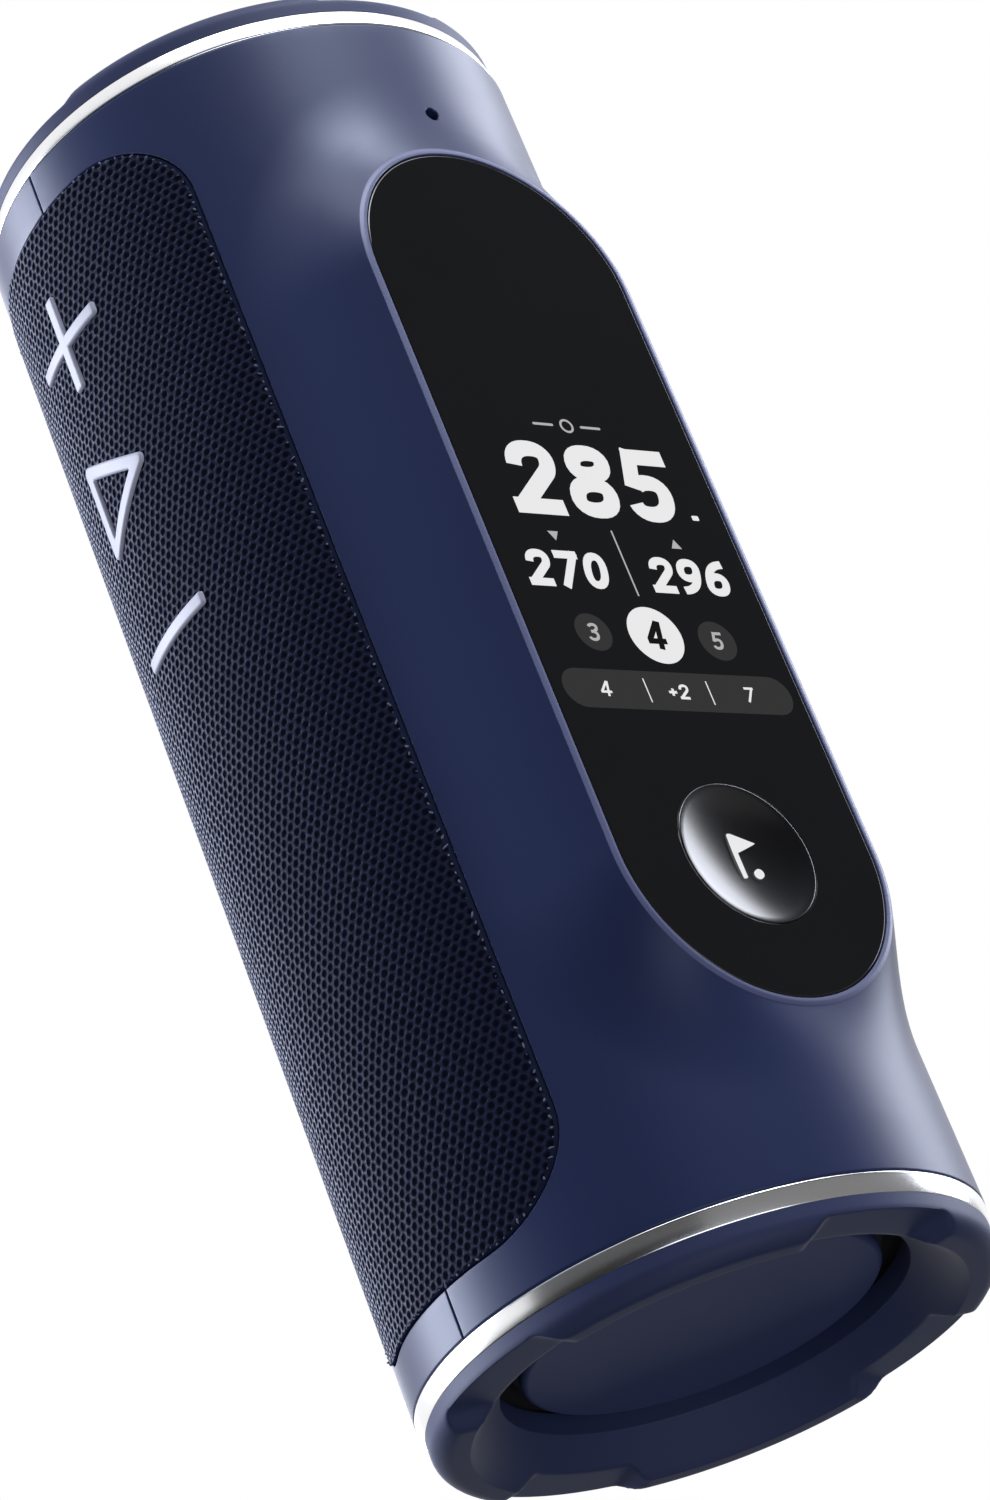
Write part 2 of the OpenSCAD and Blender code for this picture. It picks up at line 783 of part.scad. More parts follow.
module main_board() {
    color("#2c6b3f") difference() {
        forward(main_f - pcb_t, main_f) translate([-main_w / 2, main_z]) square([main_w, main_h]);
        for (p = main_posts()) translate([p[0], 0, p[1]])
            forward(main_f - pcb_t - EPS, main_f + EPS) circle(r = screw_r + screw_gap);
    }
}

module board_screws() {
    color("silver") board_screws_at(main_posts(), main_f - pcb_t, pcb_t + main_screw_bite);
}

module board_chips() {
    // Centre, size and thickness of each part on the main board
    chips = [[-6, 18, 14, 14, 1.2], [9, 20, 9, 9, 1], [-8, 40, 10, 7, 1.4], [8, 42, 12, 12, 2.4],
             [-4, 60, 7, 7, 1], [9, 62, 8, 5, 1.6]];
    color("#17181c") for (c = chips) translate([c[0], 0, main_z + c[1]])
        forward(main_f - pcb_t - c[4], main_f - pcb_t) square([c[2], c[3]], true);
}

module battery_cells() {
    color("#2f7fa6") for (sx = [-1, 1]) translate([sx * cell_x, cell_y, cell_z])
        cylinder(d = cell_d, h = cell_l);
}

module battery_cradle() {
    rib_y = sqrt(chassis_in * chassis_in - pow(cell_x + 1.5, 2)) - 0.1;
    color("#3a3c44") translate([0, 0, cell_z + 3]) difference() {
        union() {
            translate([-2 * cell_x, cell_y + 1, 0]) cube([4 * cell_x, cell_d / 2 + 1.5, cell_l - 6]);
            for (sx = [-1, 1]) translate([sx * cell_x - 1.5, cell_y + cell_d / 2, 0])
                cube([3, rib_y - cell_y - cell_d / 2, cell_l - 6]);
        }
        for (sx = [-1, 1]) translate([sx * cell_x, cell_y, -EPS])
            cylinder(d = cell_d + 0.1, h = cell_l);
    }
}

module cart_magnets() {
    half_w = magnet_bar_w / 2;
    y = sqrt(chassis_in * chassis_in - half_w * half_w) - magnet_bar_t - magnet_bar_gap;
    color("#a7a9ae") for (z = [port_z + magnet_low, cell_z + magnet_high])
        translate([-half_w, y, z]) cube([magnet_bar_w, magnet_bar_t, magnet_bar_l]);
}

module charge_socket() {
    color("#a7a9ae") rear() translate([0, 0, port_z]) difference() {
        forward(bore_r - 0.1 - usb_l, bore_r - 0.1) rounded_2d(usb_w / 2, usb_h / 2, usb_h / 2 - 0.01);
        forward(bore_r - 6, bore_r + EPS) difference() {
            rounded_2d(usb_w / 2 - 0.3, usb_h / 2 - 0.3, usb_h / 2 - 0.35);
            square([usb_w - 2.4, 0.7], true);
        }
    }
}

module charge_board() {
    color("#2c6b3f") rear() translate([0, 0, port_z - usb_h / 2 - pcb_t])
        translate([-charge_board_w / 2, charge_board_gap - chassis_in, 0])
            cube([charge_board_w, charge_board_l, pcb_t]);
}

module charge_gasket() {
    color("#202022") rear() translate([0, 0, port_z]) difference() {
        intersection() {
            translate([0, 0, -6]) tube(bore_r, chassis_r, 12);
            forward(20, R) rounded_2d(usb_w / 2 + 2.4, usb_h / 2 + 2.4, 2);
        }
        forward(20, R) square([usb_w + 2 * usb_gap, usb_h + 2 * usb_gap], true);
    }
}

// ---------------------------------------------------------------- loudspeaker drivers

// A driver's parts are turned about its own axis, with the section's height as the distance
// off the casing's axis
module driver(hand) {
    side(hand) translate([0, 0, driver_z]) rotate([90, 0, 0]) rotate_extrude() children();
}

module basket(hand) {
    gap_r = coil_r + 1.3;
    color("#6d7078") driver(hand) polygon([
        [flange_r - 1.6, flange_f], [flange_r, flange_f], [flange_r, chassis_side],
        [basket_r, chassis_side], [basket_r, chassis_side - 2.6], [magnet_r - 0.4, magnet_f],
        [gap_r, magnet_f], [gap_r, magnet_f + basket_t], [magnet_r - 1.2, magnet_f + basket_t],
        [cone_edge + 2, chassis_side - 1.8], [cone_edge + 2, surround_f],
        [flange_r - 1.6, surround_f]]);
}

module magnet(hand) {
    color("#45474d") driver(hand) polygon([
        [coil_r + 1, magnet_f], [magnet_r, magnet_f], [magnet_r, magnet_f - magnet_t],
        [0, magnet_f - magnet_t], [0, magnet_f - 1.5], [coil_r - 0.8, magnet_f - 1.5],
        [coil_r - 0.8, magnet_f - magnet_t + 1.5], [coil_r + 1, magnet_f - magnet_t + 1.5]]);
}

module cone(hand) {
    coil_in = coil_r - 0.4;
    coil_f = magnet_f - magnet_t + 2 + cone_travel;
    neck_f = surround_f - 7;
    color("#22242a") driver(hand) polygon([
        [coil_in, coil_f], [coil_r, coil_f], [coil_r, neck_f],
        [cone_edge, surround_f - cone_t], [cone_edge, surround_f],
        [coil_r, neck_f + 1.2], [0, neck_f + 1.2], [0, neck_f + 0.6], [coil_in, neck_f + 0.6]]);
}

module surround(hand) {
    mid_r = cone_edge + 1;
    color("#1a1b1f") driver(hand) intersection() {
        difference() {
            translate([mid_r, surround_f]) circle(r = roll_small);
            translate([mid_r, surround_f]) circle(r = roll_small - 0.5);
        }
        translate([mid_r - 4, surround_f]) square([8, 4]);
    }
}

// ---------------------------------------------------------------- end assemblies

module ring(end) {
    color("#d8d9dc") at_end(end) translate([0, 0, cap_h]) rotate_extrude() polygon([
        [bore_r - 0.1, 0], [R - ring_taper - ring_bevel, 0], [R - ring_taper, ring_bevel],
        [R, ring_h - ring_bevel], [R - ring_bevel, ring_h], [bore_r - 0.1, ring_h]]);
}

module cap(end) {
    skirt = R - ring_taper;
    floor_half = lip_outer * sin(notch_half);
    color("#20264a") at_end(end) difference() {
        rotate_extrude() {
            polygon([[lip_outer, 0], [lip_outer, cap_round], [skirt, cap_round], [skirt, cap_h],
                     [plug_r, cap_h], [plug_r, cap_seat], [funnel_r, cap_seat],
                     [funnel_r, funnel_depth], [lip_inner - 0.3, 0.3], [lip_inner, 0]]);
            intersection() {
                translate([lip_outer, cap_round]) circle(r = cap_round);
                translate([lip_outer, 0]) square(cap_round);
            }
        }
        for (quarter = [0:90:270]) rotate([0, 0, quarter]) forward(funnel_r - 4, R + EPS)
            polygon([[-floor_half - 3, -EPS], [floor_half + 3, -EPS], [floor_half, notch_depth],
                     [-floor_half, notch_depth]]);
        translate([0, 0, cap_seat - bolt_head_t - 0.1]) end_bolts()
            cylinder(r = bolt_head_r + 0.2, h = bolt_head_t + EPS);
    }
}

module frame(end) {
    color("#26282f") at_end(end) difference() {
        rotate_extrude() polygon([
            [seat_r + 0.1, cap_seat], [plug_r, cap_seat], [plug_r, frame_z],
            [frame_in, frame_z], [frame_in, cap_seat + surround_t], [seat_r + 0.1, cap_seat + surround_t]]);
        translate([0, 0, cap_seat - EPS]) end_bolts()
            cylinder(r = bolt_d / 2 + 0.1, h = frame_t + 2 * EPS);
    }
}

module seal(end) {
    color("#202022") at_end(end) translate([0, 0, frame_z]) difference() {
        linear_extrude(height = rib_h) difference() {
            chassis_2d(0.2);
            chassis_2d(chassis_wall);
        }
        translate([0, 0, -EPS]) end_bolts() cylinder(r = boss_r + 0.05, h = rib_h + 2 * EPS);
        translate([0, 0, -EPS]) tube(R, bore_r - rib_w, rib_h + 2 * EPS);
    }
}

module screws(end) {
    color("silver") at_end(end) translate([0, 0, cap_seat]) end_bolts() {
        translate([0, 0, -bolt_head_t]) cylinder(r = bolt_head_r, h = bolt_head_t);
        cylinder(d = bolt_d, h = bolt_l);
    }
}

module radiator(end) {
    color("#262b40") at_end(end) rotate_extrude() {
        square_in = plate_r - plate_round;
        polygon([[0, plate_z], [square_in, plate_z], [square_in, plate_z + plate_round],
                 [plate_r, plate_z + plate_round], [plate_r, cap_seat], [0, cap_seat]]);
        intersection() {
            translate([square_in, plate_z + plate_round]) circle(r = plate_round);
            translate([square_in, plate_z]) square(plate_round);
        }
    }
}

module weight(end) {
    color("#9a9ca3") at_end(end) translate([0, 0, cap_seat]) cylinder(r = weight_r, h = weight_t);
}

module roll(end) {
    color("#101218") at_end(end) translate([0, 0, cap_seat]) rotate_extrude() {
        intersection() {
            difference() {
                translate([roll_mid, 0]) circle(r = roll_r);
                translate([roll_mid, 0]) circle(r = roll_r - surround_t);
            }
            translate([plate_r - 1, 0]) square([2 * roll_r + 2, roll_r + 1]);
        }
        translate([plate_r - 2, 0]) square([2 + surround_t, surround_t]);
        translate([plate_r + 2 * roll_r - surround_t, 0])
            square([seat_r - plate_r - 2 * roll_r + surround_t, surround_t]);
    }
}

// ---------------------------------------------------------------- nodes

front_shell();
rear_shell();
grille(-1);  // left_grille
grille(1);  // right_grille
cloth(-1);  // left_cloth
cloth(1);  // right_cloth
key(0);  // plus_key
key(1);  // play_key
key(2);  // minus_key
key_board();
key_switches();
display_glass();
glass_gasket();
display_panel();
panel_tray();
display_board();
display_screws();
satellite_antenna();
main_button();
button_switch();
mic_mesh();
mic_capsule();
mic_board();
chassis();
main_board();
board_chips();
board_screws();
battery_cells();
battery_cradle();
cart_magnets();
charge_socket();
charge_board();
charge_gasket();
port_flap();
basket(-1);  // left_basket
magnet(-1);  // left_magnet
cone(-1);  // left_cone
surround(-1);  // left_surround
basket(1);  // right_basket
magnet(1);  // right_magnet
cone(1);  // right_cone
surround(1);  // right_surround
ring("bottom");  // bottom_ring
cap("bottom");  // bottom_cap
frame("bottom");  // bottom_frame
seal("bottom");  // bottom_seal
screws("bottom");  // bottom_screws
radiator("bottom");  // bottom_radiator
weight("bottom");  // bottom_weight
roll("bottom");  // bottom_surround
ring("top");  // top_ring
cap("top");  // top_cap
frame("top");  // top_frame
seal("top");  // top_seal
screws("top");  // top_screws
radiator("top");  // top_radiator
weight("top");  // top_weight
roll("top");  // top_surround
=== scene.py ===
"""Looks of a portable golf GPS speaker, made round its packed construction model.

Sizes are in millimetres in the row frame: +Z up the casing axis, the display faces -Y and the keys
stand on the -X side. They become metres when a mesh is made.
"""

from __future__ import annotations

import json
import logging
import math
from dataclasses import dataclass, field
from enum import Enum
from functools import cache, partial
from typing import Callable, Iterable, Sequence

import bmesh
import bpy
import numpy as np
from mathutils import Matrix, Vector
from mathutils.geometry import delaunay_2d_cdt

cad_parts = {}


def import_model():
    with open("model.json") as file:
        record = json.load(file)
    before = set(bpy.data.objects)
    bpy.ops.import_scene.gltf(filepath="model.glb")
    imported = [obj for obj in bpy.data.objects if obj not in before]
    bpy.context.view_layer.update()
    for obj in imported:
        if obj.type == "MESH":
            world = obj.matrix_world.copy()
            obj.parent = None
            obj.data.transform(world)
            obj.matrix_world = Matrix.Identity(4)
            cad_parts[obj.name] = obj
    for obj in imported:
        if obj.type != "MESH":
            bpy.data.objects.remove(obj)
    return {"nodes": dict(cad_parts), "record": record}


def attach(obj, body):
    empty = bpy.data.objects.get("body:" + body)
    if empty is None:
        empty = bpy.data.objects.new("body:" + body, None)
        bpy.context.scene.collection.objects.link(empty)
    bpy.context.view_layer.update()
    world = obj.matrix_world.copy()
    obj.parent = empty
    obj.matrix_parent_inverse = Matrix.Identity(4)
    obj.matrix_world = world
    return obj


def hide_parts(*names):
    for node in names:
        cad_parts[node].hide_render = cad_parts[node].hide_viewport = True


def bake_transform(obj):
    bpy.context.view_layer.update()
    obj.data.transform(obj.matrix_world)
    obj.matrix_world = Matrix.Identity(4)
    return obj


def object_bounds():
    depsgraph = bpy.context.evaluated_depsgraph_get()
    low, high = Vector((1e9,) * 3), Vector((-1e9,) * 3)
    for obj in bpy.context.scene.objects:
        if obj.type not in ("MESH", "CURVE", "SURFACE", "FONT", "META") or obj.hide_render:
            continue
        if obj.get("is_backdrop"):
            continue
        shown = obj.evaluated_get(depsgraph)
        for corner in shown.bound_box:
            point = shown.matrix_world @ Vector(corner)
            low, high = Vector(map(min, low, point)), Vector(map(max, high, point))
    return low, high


LOG = logging.getLogger("speaker")
MM = 0.001
CASING_BODY = "casing"
SAME_POINT = 0.0008 * MM
THIN_FACE = 1e-5 * MM * MM
OVERLAP = 0.3

Loop = np.ndarray
Pair = tuple[float, float]
Triple = tuple[float, float, float]
Colour = Triple
Node = bpy.types.Node
Tree = bpy.types.NodeTree
Socket = bpy.types.NodeSocket
Material = bpy.types.Material
Mesh = bpy.types.Mesh
Piece = bpy.types.Object
Inputs = dict[str, object]
Face = tuple[int, ...]
Track = tuple[np.ndarray, np.ndarray]
Stroke = tuple[np.ndarray, bool]
Openings = tuple[list[Loop], list[Loop], "Loop | None"]
Outlines = Callable[[float, float], list[Loop]]


# ------------------------------------------------------------------------------ shader groups


def colour4(colour: Colour) -> tuple[float, float, float, float]:
    """A colour with full alpha."""
    return (*colour, 1.0)


class Net:
    """A node tree with short calls to add and join nodes."""

    def __init__(self, tree: Tree) -> None:
        """Keeps the tree."""
        self.tree = tree

    def add(self, kind: str, inputs: dict[int | str, object] | None = None, **settings: object) -> Node:
        """Adds a node.

        Args:
            kind: the node's type name.
            inputs: what each input is joined or set to, by number or name.
            settings: its properties.
        Returns:
            The node.
        """
        node = self.tree.nodes.new(kind)
        for name, value in settings.items():
            setattr(node, name, value)
        for socket, value in (inputs or {}).items():
            self.feed(node, socket, value)
        return node

    def feed(self, node: Node, socket: int | str, value: object) -> None:
        """Joins or sets an input.

        Args:
            node: the node.
            socket: the input's number or name.
            value: an output socket, or a plain value.
        """
        target = node.inputs[socket]
        if isinstance(value, Socket):
            self.tree.links.new(value, target)
        else:
            target.default_value = value

    def math(self, operation: str, *values: object, clamp: bool = False) -> Socket:
        """A Math node's output for up to three values."""
        inputs = dict(enumerate(values))
        return self.add("ShaderNodeMath", inputs, operation=operation, use_clamp=clamp).outputs[0]

    def vector(self, operation: str, *values: object) -> Node:
        """A Vector Math node for up to three values."""
        return self.add("ShaderNodeVectorMath", dict(enumerate(values)), operation=operation)

    def times(self, vector: object, scale: object) -> Socket:
        """A vector made longer or shorter."""
        return self.add("ShaderNodeVectorMath", {0: vector, "Scale": scale}, operation="SCALE").outputs[0]

    def joined(self, x: object, y: object, z: object = 0.0) -> Socket:
        """A vector of three values."""
        return self.add("ShaderNodeCombineXYZ", {0: x, 1: y, 2: z}).outputs[0]

    def ramp(self, value: object, low: float, high: float, to_low: object, to_high: object) -> Socket:
        """Maps a value smoothly from one range to another."""
        sizes = {"Value": value, "From Min": low, "From Max": high, "To Min": to_low, "To Max": to_high}
        return self.add("ShaderNodeMapRange", sizes, interpolation_type="SMOOTHSTEP").outputs["Result"]

    def noise(self, vector: object, scale: object, detail: float = 2.0) -> Socket:
        """A noise value at a scale in cells per metre."""
        sizes = {"Vector": vector, "Scale": scale, "Detail": detail}
        return self.add("ShaderNodeTexNoise", sizes).outputs["Fac"]

    def mix(self, factor: object, first: object, second: object) -> Socket:
        """Mixes two colours."""
        return self.add("ShaderNodeMix", {0: factor, 6: first, 7: second}, data_type="RGBA").outputs[2]

    def swing(self, value: Socket, reach: object) -> Socket:
        """A value from nought to one, turned into one from minus half the reach to half of it."""
        return self.math("MULTIPLY", self.math("SUBTRACT", value, 0.5), reach)

    def relief(self, shader: Node, height: Socket, distance: float) -> None:
        """Gives a shader a bump of a height in millimetres."""
        bump = self.add("ShaderNodeBump", {"Distance": distance * MM, "Strength": 1.0, "Height": height})
        self.feed(shader, "Normal", bump.outputs[0])


def bare_net(owner: bpy.types.ID) -> Net:
    """The emptied net of a material or a world.

    Args:
        owner: the material or world.
    Returns:
        The net.
    """
    owner.use_nodes = True
    owner.node_tree.nodes.clear()
    return Net(owner.node_tree)


def socket_kind(title: str, value: object) -> str:
    """The type of a socket, from its name or its default value."""
    plain_kind = {int: "NodeSocketInt", tuple: "NodeSocketColor"}.get(type(value), "NodeSocketFloat")
    return f"NodeSocket{title}" if title in ("Vector", "Geometry") else plain_kind


def new_tree(kind: str, name: str, inputs: Inputs, outputs: Inputs) -> tuple[Net, Node, Node]:
    """Starts a node group.

    Args:
        kind: the tree's type name.
        name: the group's name.
        inputs: the name and default value of each input.
        outputs: the name of each output, and a value of its type.
    Returns:
        The net, and the group's input and output nodes.
    """
    tree = bpy.data.node_groups.new(name, kind)
    for title, value in inputs.items():
        socket = tree.interface.new_socket(title, in_out="INPUT", socket_type=socket_kind(title, value))
        if value is not None:
            socket.default_value = value
    for title, value in outputs.items():
        tree.interface.new_socket(title, in_out="OUTPUT", socket_type=socket_kind(title, value))
    net = Net(tree)
    return net, net.add("NodeGroupInput"), net.add("NodeGroupOutput")


def grain_group() -> Tree:
    """Moulded grain with a soft mottle and a roughness haze, all from object coordinates.

    Returns:
        The group.
    """
    grey = (0.5, 0.5, 0.5, 1.0)
    sizes = {
        "Vector": None, "Colour": grey, "Grain Scale": 3000.0, "Mottle": 0.05, "Roughness": 0.4, "Haze": 0.05,
    }
    made = {"Colour": grey, "Roughness": 0.0, "Height": 0.0}
    net, given, out = new_tree("ShaderNodeTree", "moulded grain", sizes, made)
    size = given.outputs
    fine = net.noise(size["Vector"], size["Grain Scale"], 3.0)
    swing = net.swing(net.noise(size["Vector"], 45.0, 2.0), 2.0)
    lift = net.math("ADD", 1.0, net.math("MULTIPLY", swing, size["Mottle"]))
    net.feed(out, "Colour", net.times(size["Colour"], lift))
    wide = net.math("MULTIPLY", swing, net.math("MULTIPLY", size["Haze"], 0.5))
    haze = net.math("ADD", net.swing(fine, size["Haze"]), wide)
    net.feed(out, "Roughness", net.math("ADD", size["Roughness"], haze, clamp=True))
    net.feed(out, "Height", fine)
    return net.tree


def weave_group() -> Tree:
    """Staggered mesh of an acoustic cloth: its threads' height, the mask of a painted highlight on their
    crowns, and the mask of its eyelets, dark for the grille behind and for painted shade.

    Returns:
        The group.
    """
    sizes = {"Vector": None, "Pitch": 1.5, "Row": 2.4, "Eyelet Radius": 0.4}
    made = {"Height": 0.0, "Eyelet": 0.0, "Thread": 0.0}
    net, given, out = new_tree("ShaderNodeTree", "mesh weave", sizes, made)
    place = given.outputs["Vector"]
    wobble = net.add("ShaderNodeTexNoise", {"Vector": place, "Scale": 0.45}, noise_dimensions="2D")
    shift = net.vector("MULTIPLY_ADD", wobble.outputs["Color"], (0.35, 0.35, 0.0), place)
    pitch = net.joined(given.outputs["Pitch"], given.outputs["Row"], 1.0)
    scaled = net.vector("DIVIDE", shift.outputs[0], pitch)
    distances = []
    for offset in ((0.0, 0.0, 0.0), (0.5, 0.5, 0.0)):
        cell = net.vector("FRACTION", net.vector("ADD", scaled.outputs[0], offset).outputs[0])
        centred = net.vector("SUBTRACT", cell.outputs[0], (0.5, 0.5, 0.0))
        sized = net.vector("MULTIPLY", centred.outputs[0], pitch)
        flat = net.vector("MULTIPLY", sized.outputs[0], (1.0, 1.0, 0.0))
        distances.append(net.vector("LENGTH", flat.outputs[0]).outputs["Value"])
    reach = net.math("DIVIDE", net.math("MINIMUM", *distances), given.outputs["Eyelet Radius"])
    strands = net.add("ShaderNodeTexNoise", {"Vector": place, "Scale": 1.9}, noise_dimensions="2D")
    strand = strands.outputs["Fac"]
    crown = net.ramp(reach, 0.75, 1.75, 0.0, 1.0)
    net.feed(out, "Height", net.math("ADD", crown, net.math("MULTIPLY", strand, 0.22)))
    # The eyelet mask paints the holes near black: the grille behind, with painted shade.
    net.feed(out, "Eyelet", net.ramp(reach, 0.70, 1.15, 1.0, 0.0))
    # The thread mask carries the painted highlight on the thread crowns.
    shine = net.math("MULTIPLY", net.ramp(reach, 1.1, 1.8, 0.0, 1.0), net.ramp(strand, 0.3, 0.7, 0.35, 1.0))
    net.feed(out, "Thread", shine)
    return net.tree


def turned_group() -> Tree:
    """Fine polishing lines that run round the axis, as a height and a roughness.

    Returns:
        The group.
    """
    sizes = {"Vector": None, "Roughness": 0.15, "Haze": 0.06}
    net, given, out = new_tree("ShaderNodeTree", "turned lines", sizes, {"Roughness": 0.0, "Height": 0.0})
    x, y, z = net.add("ShaderNodeSeparateXYZ", {0: given.outputs["Vector"]}).outputs
    radius = net.vector("LENGTH", net.joined(x, y)).outputs["Value"]
    climb = net.math("MULTIPLY", net.math("ADD", z, radius), 900.0)
    line = net.joined(net.math("MULTIPLY", x, 6.0), net.math("MULTIPLY", y, 6.0), climb)
    streak = net.noise(line, 9.0, 3.0)
    haze = net.swing(streak, given.outputs["Haze"])
    net.feed(out, "Roughness", net.math("ADD", given.outputs["Roughness"], haze, clamp=True))
    net.feed(out, "Height", streak)
    return net.tree


class Effects:
    """The shader groups that finishes share, each built once."""

    def __init__(self) -> None:
        """Builds the groups."""
        self.grain = grain_group()
        self.weave = weave_group()
        self.turned = turned_group()


# ----------------------------------------------------------------------------------- finishes


@dataclass(frozen=True)
class Finish:
    """A moulded, painted or coated finish with a fine grain.

    Colours are linear, scales are cells per metre and heights are millimetres.
    """

    name: str
    colour: Colour
    roughness: float = 0.45
    metallic: float = 0.0
    coat: float = 0.0
    coat_roughness: float = 0.1
    specular: float = 0.5
    specular_tint: Colour = (1.0, 1.0, 1.0)
    sheen: float = 0.0
    sheen_roughness: float = 0.22
    sheen_tint: Colour = (1.0, 1.0, 1.0)
    grain_scale: float = 3500.0
    grain_height: float = 0.006
    mottle: float = 0.05
    haze: float = 0.06

    def shader(self) -> tuple[Material, Net, Node]:
        """Makes the material and its Principled shader, with the constants set on it.

        Returns:
            The material, its net and the shader.
        """
        material = bpy.data.materials.new(self.name)
        net = bare_net(material)
        constants = {
            "Base Color": colour4(self.colour), "Roughness": self.roughness, "Metallic": self.metallic,
            "Coat Weight": self.coat, "Coat Roughness": self.coat_roughness,
            "Specular IOR Level": self.specular, "Specular Tint": colour4(self.specular_tint),
            "Sheen Weight": self.sheen, "Sheen Roughness": self.sheen_roughness,
            "Sheen Tint": colour4(self.sheen_tint),
        }
        shader = net.add("ShaderNodeBsdfPrincipled", constants)
        net.add("ShaderNodeOutputMaterial", {"Surface": shader.outputs[0]})
        return material, net, shader

    def grained(self, effects: Effects, net: Net, shader: Node, colour: object = None) -> None:
        """Feeds the shader from the grain group.

        Args:
            effects: the shared groups.
            net: the material's net.
            shader: its Principled shader.
            colour: a colour socket that takes the place of the plain colour.
        """
        sizes = {
            "Vector": net.add("ShaderNodeTexCoord").outputs["Object"],
            "Colour": colour4(self.colour) if colour is None else colour, "Grain Scale": self.grain_scale,
            "Mottle": self.mottle, "Roughness": self.roughness, "Haze": self.haze,
        }
        grain = net.add("ShaderNodeGroup", sizes, node_tree=effects.grain)
        net.feed(shader, "Base Color", grain.outputs["Colour"])
        net.feed(shader, "Roughness", grain.outputs["Roughness"])
        net.relief(shader, grain.outputs["Height"], self.grain_height)

    def material(self, effects: Effects) -> Material:
        """The finished material.

        Args:
            effects: the shared groups.
        Returns:
            The material.
        """
        material, net, shader = self.shader()
        self.grained(effects, net, shader)
        return material


@dataclass(frozen=True)
class ShellFinish(Finish):
    """A casing finish whose rim, marked by an attribute, takes a lighter colour: a painted highlight along
    the display rim.
    """

    rim_highlight_colour: Colour = (0.2, 0.2, 0.3)

    def material(self, effects: Effects) -> Material:
        """The finished material.

        Args:
            effects: the shared groups.
        Returns:
            The material.
        """
        material, net, shader = self.shader()
        mark = net.add("ShaderNodeAttribute", attribute_name="rim")
        # The rim mark mixes in a lighter colour, a painted highlight along the display rim.
        colour = net.mix(mark.outputs["Fac"], colour4(self.colour), colour4(self.rim_highlight_colour))
        self.grained(effects, net, shader, colour)
        return material


@dataclass(frozen=True)
class ClothFinish(Finish):
    """An open mesh cloth whose weave follows the sheet's own UV map, in millimetres; its thread crowns carry
    a painted highlight, its grazing limb a painted sheen, and its eyelets the dark grille behind with painted
    shade.
    """

    pitch: float = 1.5
    row: float = 2.4
    eyelet_radius: float = 0.4
    # Eyelets: the grille behind with painted shade; thread crowns: painted highlight; limb: painted sheen.
    eyelet_hole_and_shade_colour: Colour = (0.004, 0.0045, 0.008)
    thread_highlight_colour: Colour = (0.05, 0.055, 0.09)
    thread_height: float = 0.3
    painted_sheen_colour: Colour = (0.80, 0.83, 1.0)
    painted_sheen_power: float = 2.8

    def material(self, effects: Effects) -> Material:
        """The finished material.

        Args:
            effects: the shared groups.
        Returns:
            The material.
        """
        material, net, shader = self.shader()
        place = net.times(net.add("ShaderNodeUVMap", uv_map="flat").outputs[0], 1.0 / MM)
        sizes = {"Vector": place, "Pitch": self.pitch, "Row": self.row, "Eyelet Radius": self.eyelet_radius}
        weave = net.add("ShaderNodeGroup", sizes, node_tree=effects.weave).outputs
        # Thread crowns are lighter: a painted highlight on the thread tops.
        lit = net.mix(weave["Thread"], colour4(self.colour), colour4(self.thread_highlight_colour))
        # Towards the grazing limb the thread crowns turn pale: a painted sheen.
        painted_sheen = net.math("POWER", net.add("ShaderNodeLayerWeight").outputs["Facing"], self.painted_sheen_power)
        lit = net.mix(net.math("MULTIPLY", painted_sheen, weave["Thread"]), lit, colour4(self.painted_sheen_colour))
        # Eyelets turn near black: the grille behind them, with painted shade in the holes.
        net.feed(shader, "Base Color", net.mix(weave["Eyelet"], lit, colour4(self.eyelet_hole_and_shade_colour)))
        dull = net.math("MULTIPLY", weave["Eyelet"], 0.3)
        net.feed(shader, "Roughness", net.math("ADD", self.roughness, dull))
        net.relief(shader, weave["Height"], self.thread_height)
        return material


@dataclass(frozen=True)
class TurnedFinish(Finish):
    """Metal polished on a lathe."""

    line_height: float = 0.0012

    def material(self, effects: Effects) -> Material:
        """The finished material.

        Args:
            effects: the shared groups.
        Returns:
            The material.
        """
        material, net, shader = self.shader()
        place = net.add("ShaderNodeTexCoord").outputs["Object"]
        sizes = {"Vector": place, "Roughness": self.roughness, "Haze": self.haze}
        lines = net.add("ShaderNodeGroup", sizes, node_tree=effects.turned).outputs
        net.feed(shader, "Roughness", lines["Roughness"])
        net.relief(shader, lines["Height"], self.line_height)
        return material


@dataclass(frozen=True)
class LitFinish(Finish):
    """A sign that the display lights from behind."""

    glow: float = 1.0

    def material(self, effects: Effects) -> Material:
        """The finished material.

        Args:
            effects: the shared groups.
        Returns:
            The material.
        """
        material, net, shader = self.shader()
        grain = net.noise(net.add("ShaderNodeTexCoord").outputs["Object"], self.grain_scale, 1.0)
        lift = net.math("ADD", 1.0, net.swing(grain, self.mottle))
        net.feed(shader, "Base Color", colour4((0.0, 0.0, 0.0)))
        net.feed(shader, "Emission Strength", self.glow)
        net.feed(shader, "Emission Color", net.times(self.colour, lift))
        return material


class Slot(Enum):
    """The record's material slots."""

    CASING = "casing"
    GRILLE = "grille"
    CLOTH = "cloth"
    KEY = "key"
    CIRCUIT_BOARD = "circuit_board"
    SWITCH = "switch"
    GLASS = "glass"
    GASKET = "gasket"
    PANEL = "panel"
    TRAY = "tray"
    SCREW = "screw"
    CERAMIC = "ceramic"
    BUTTON = "button"
    MESH = "mesh"
    CHASSIS = "chassis"
    CHIP = "chip"
    CELL = "cell"
    MAGNET = "magnet"
    SOCKET = "socket"
    FLAP = "flap"
    BASKET = "basket"
    CONE = "cone"
    SURROUND = "surround"
    RING = "ring"
    CAP = "cap"
    PLATE = "plate"
    WEIGHT = "weight"


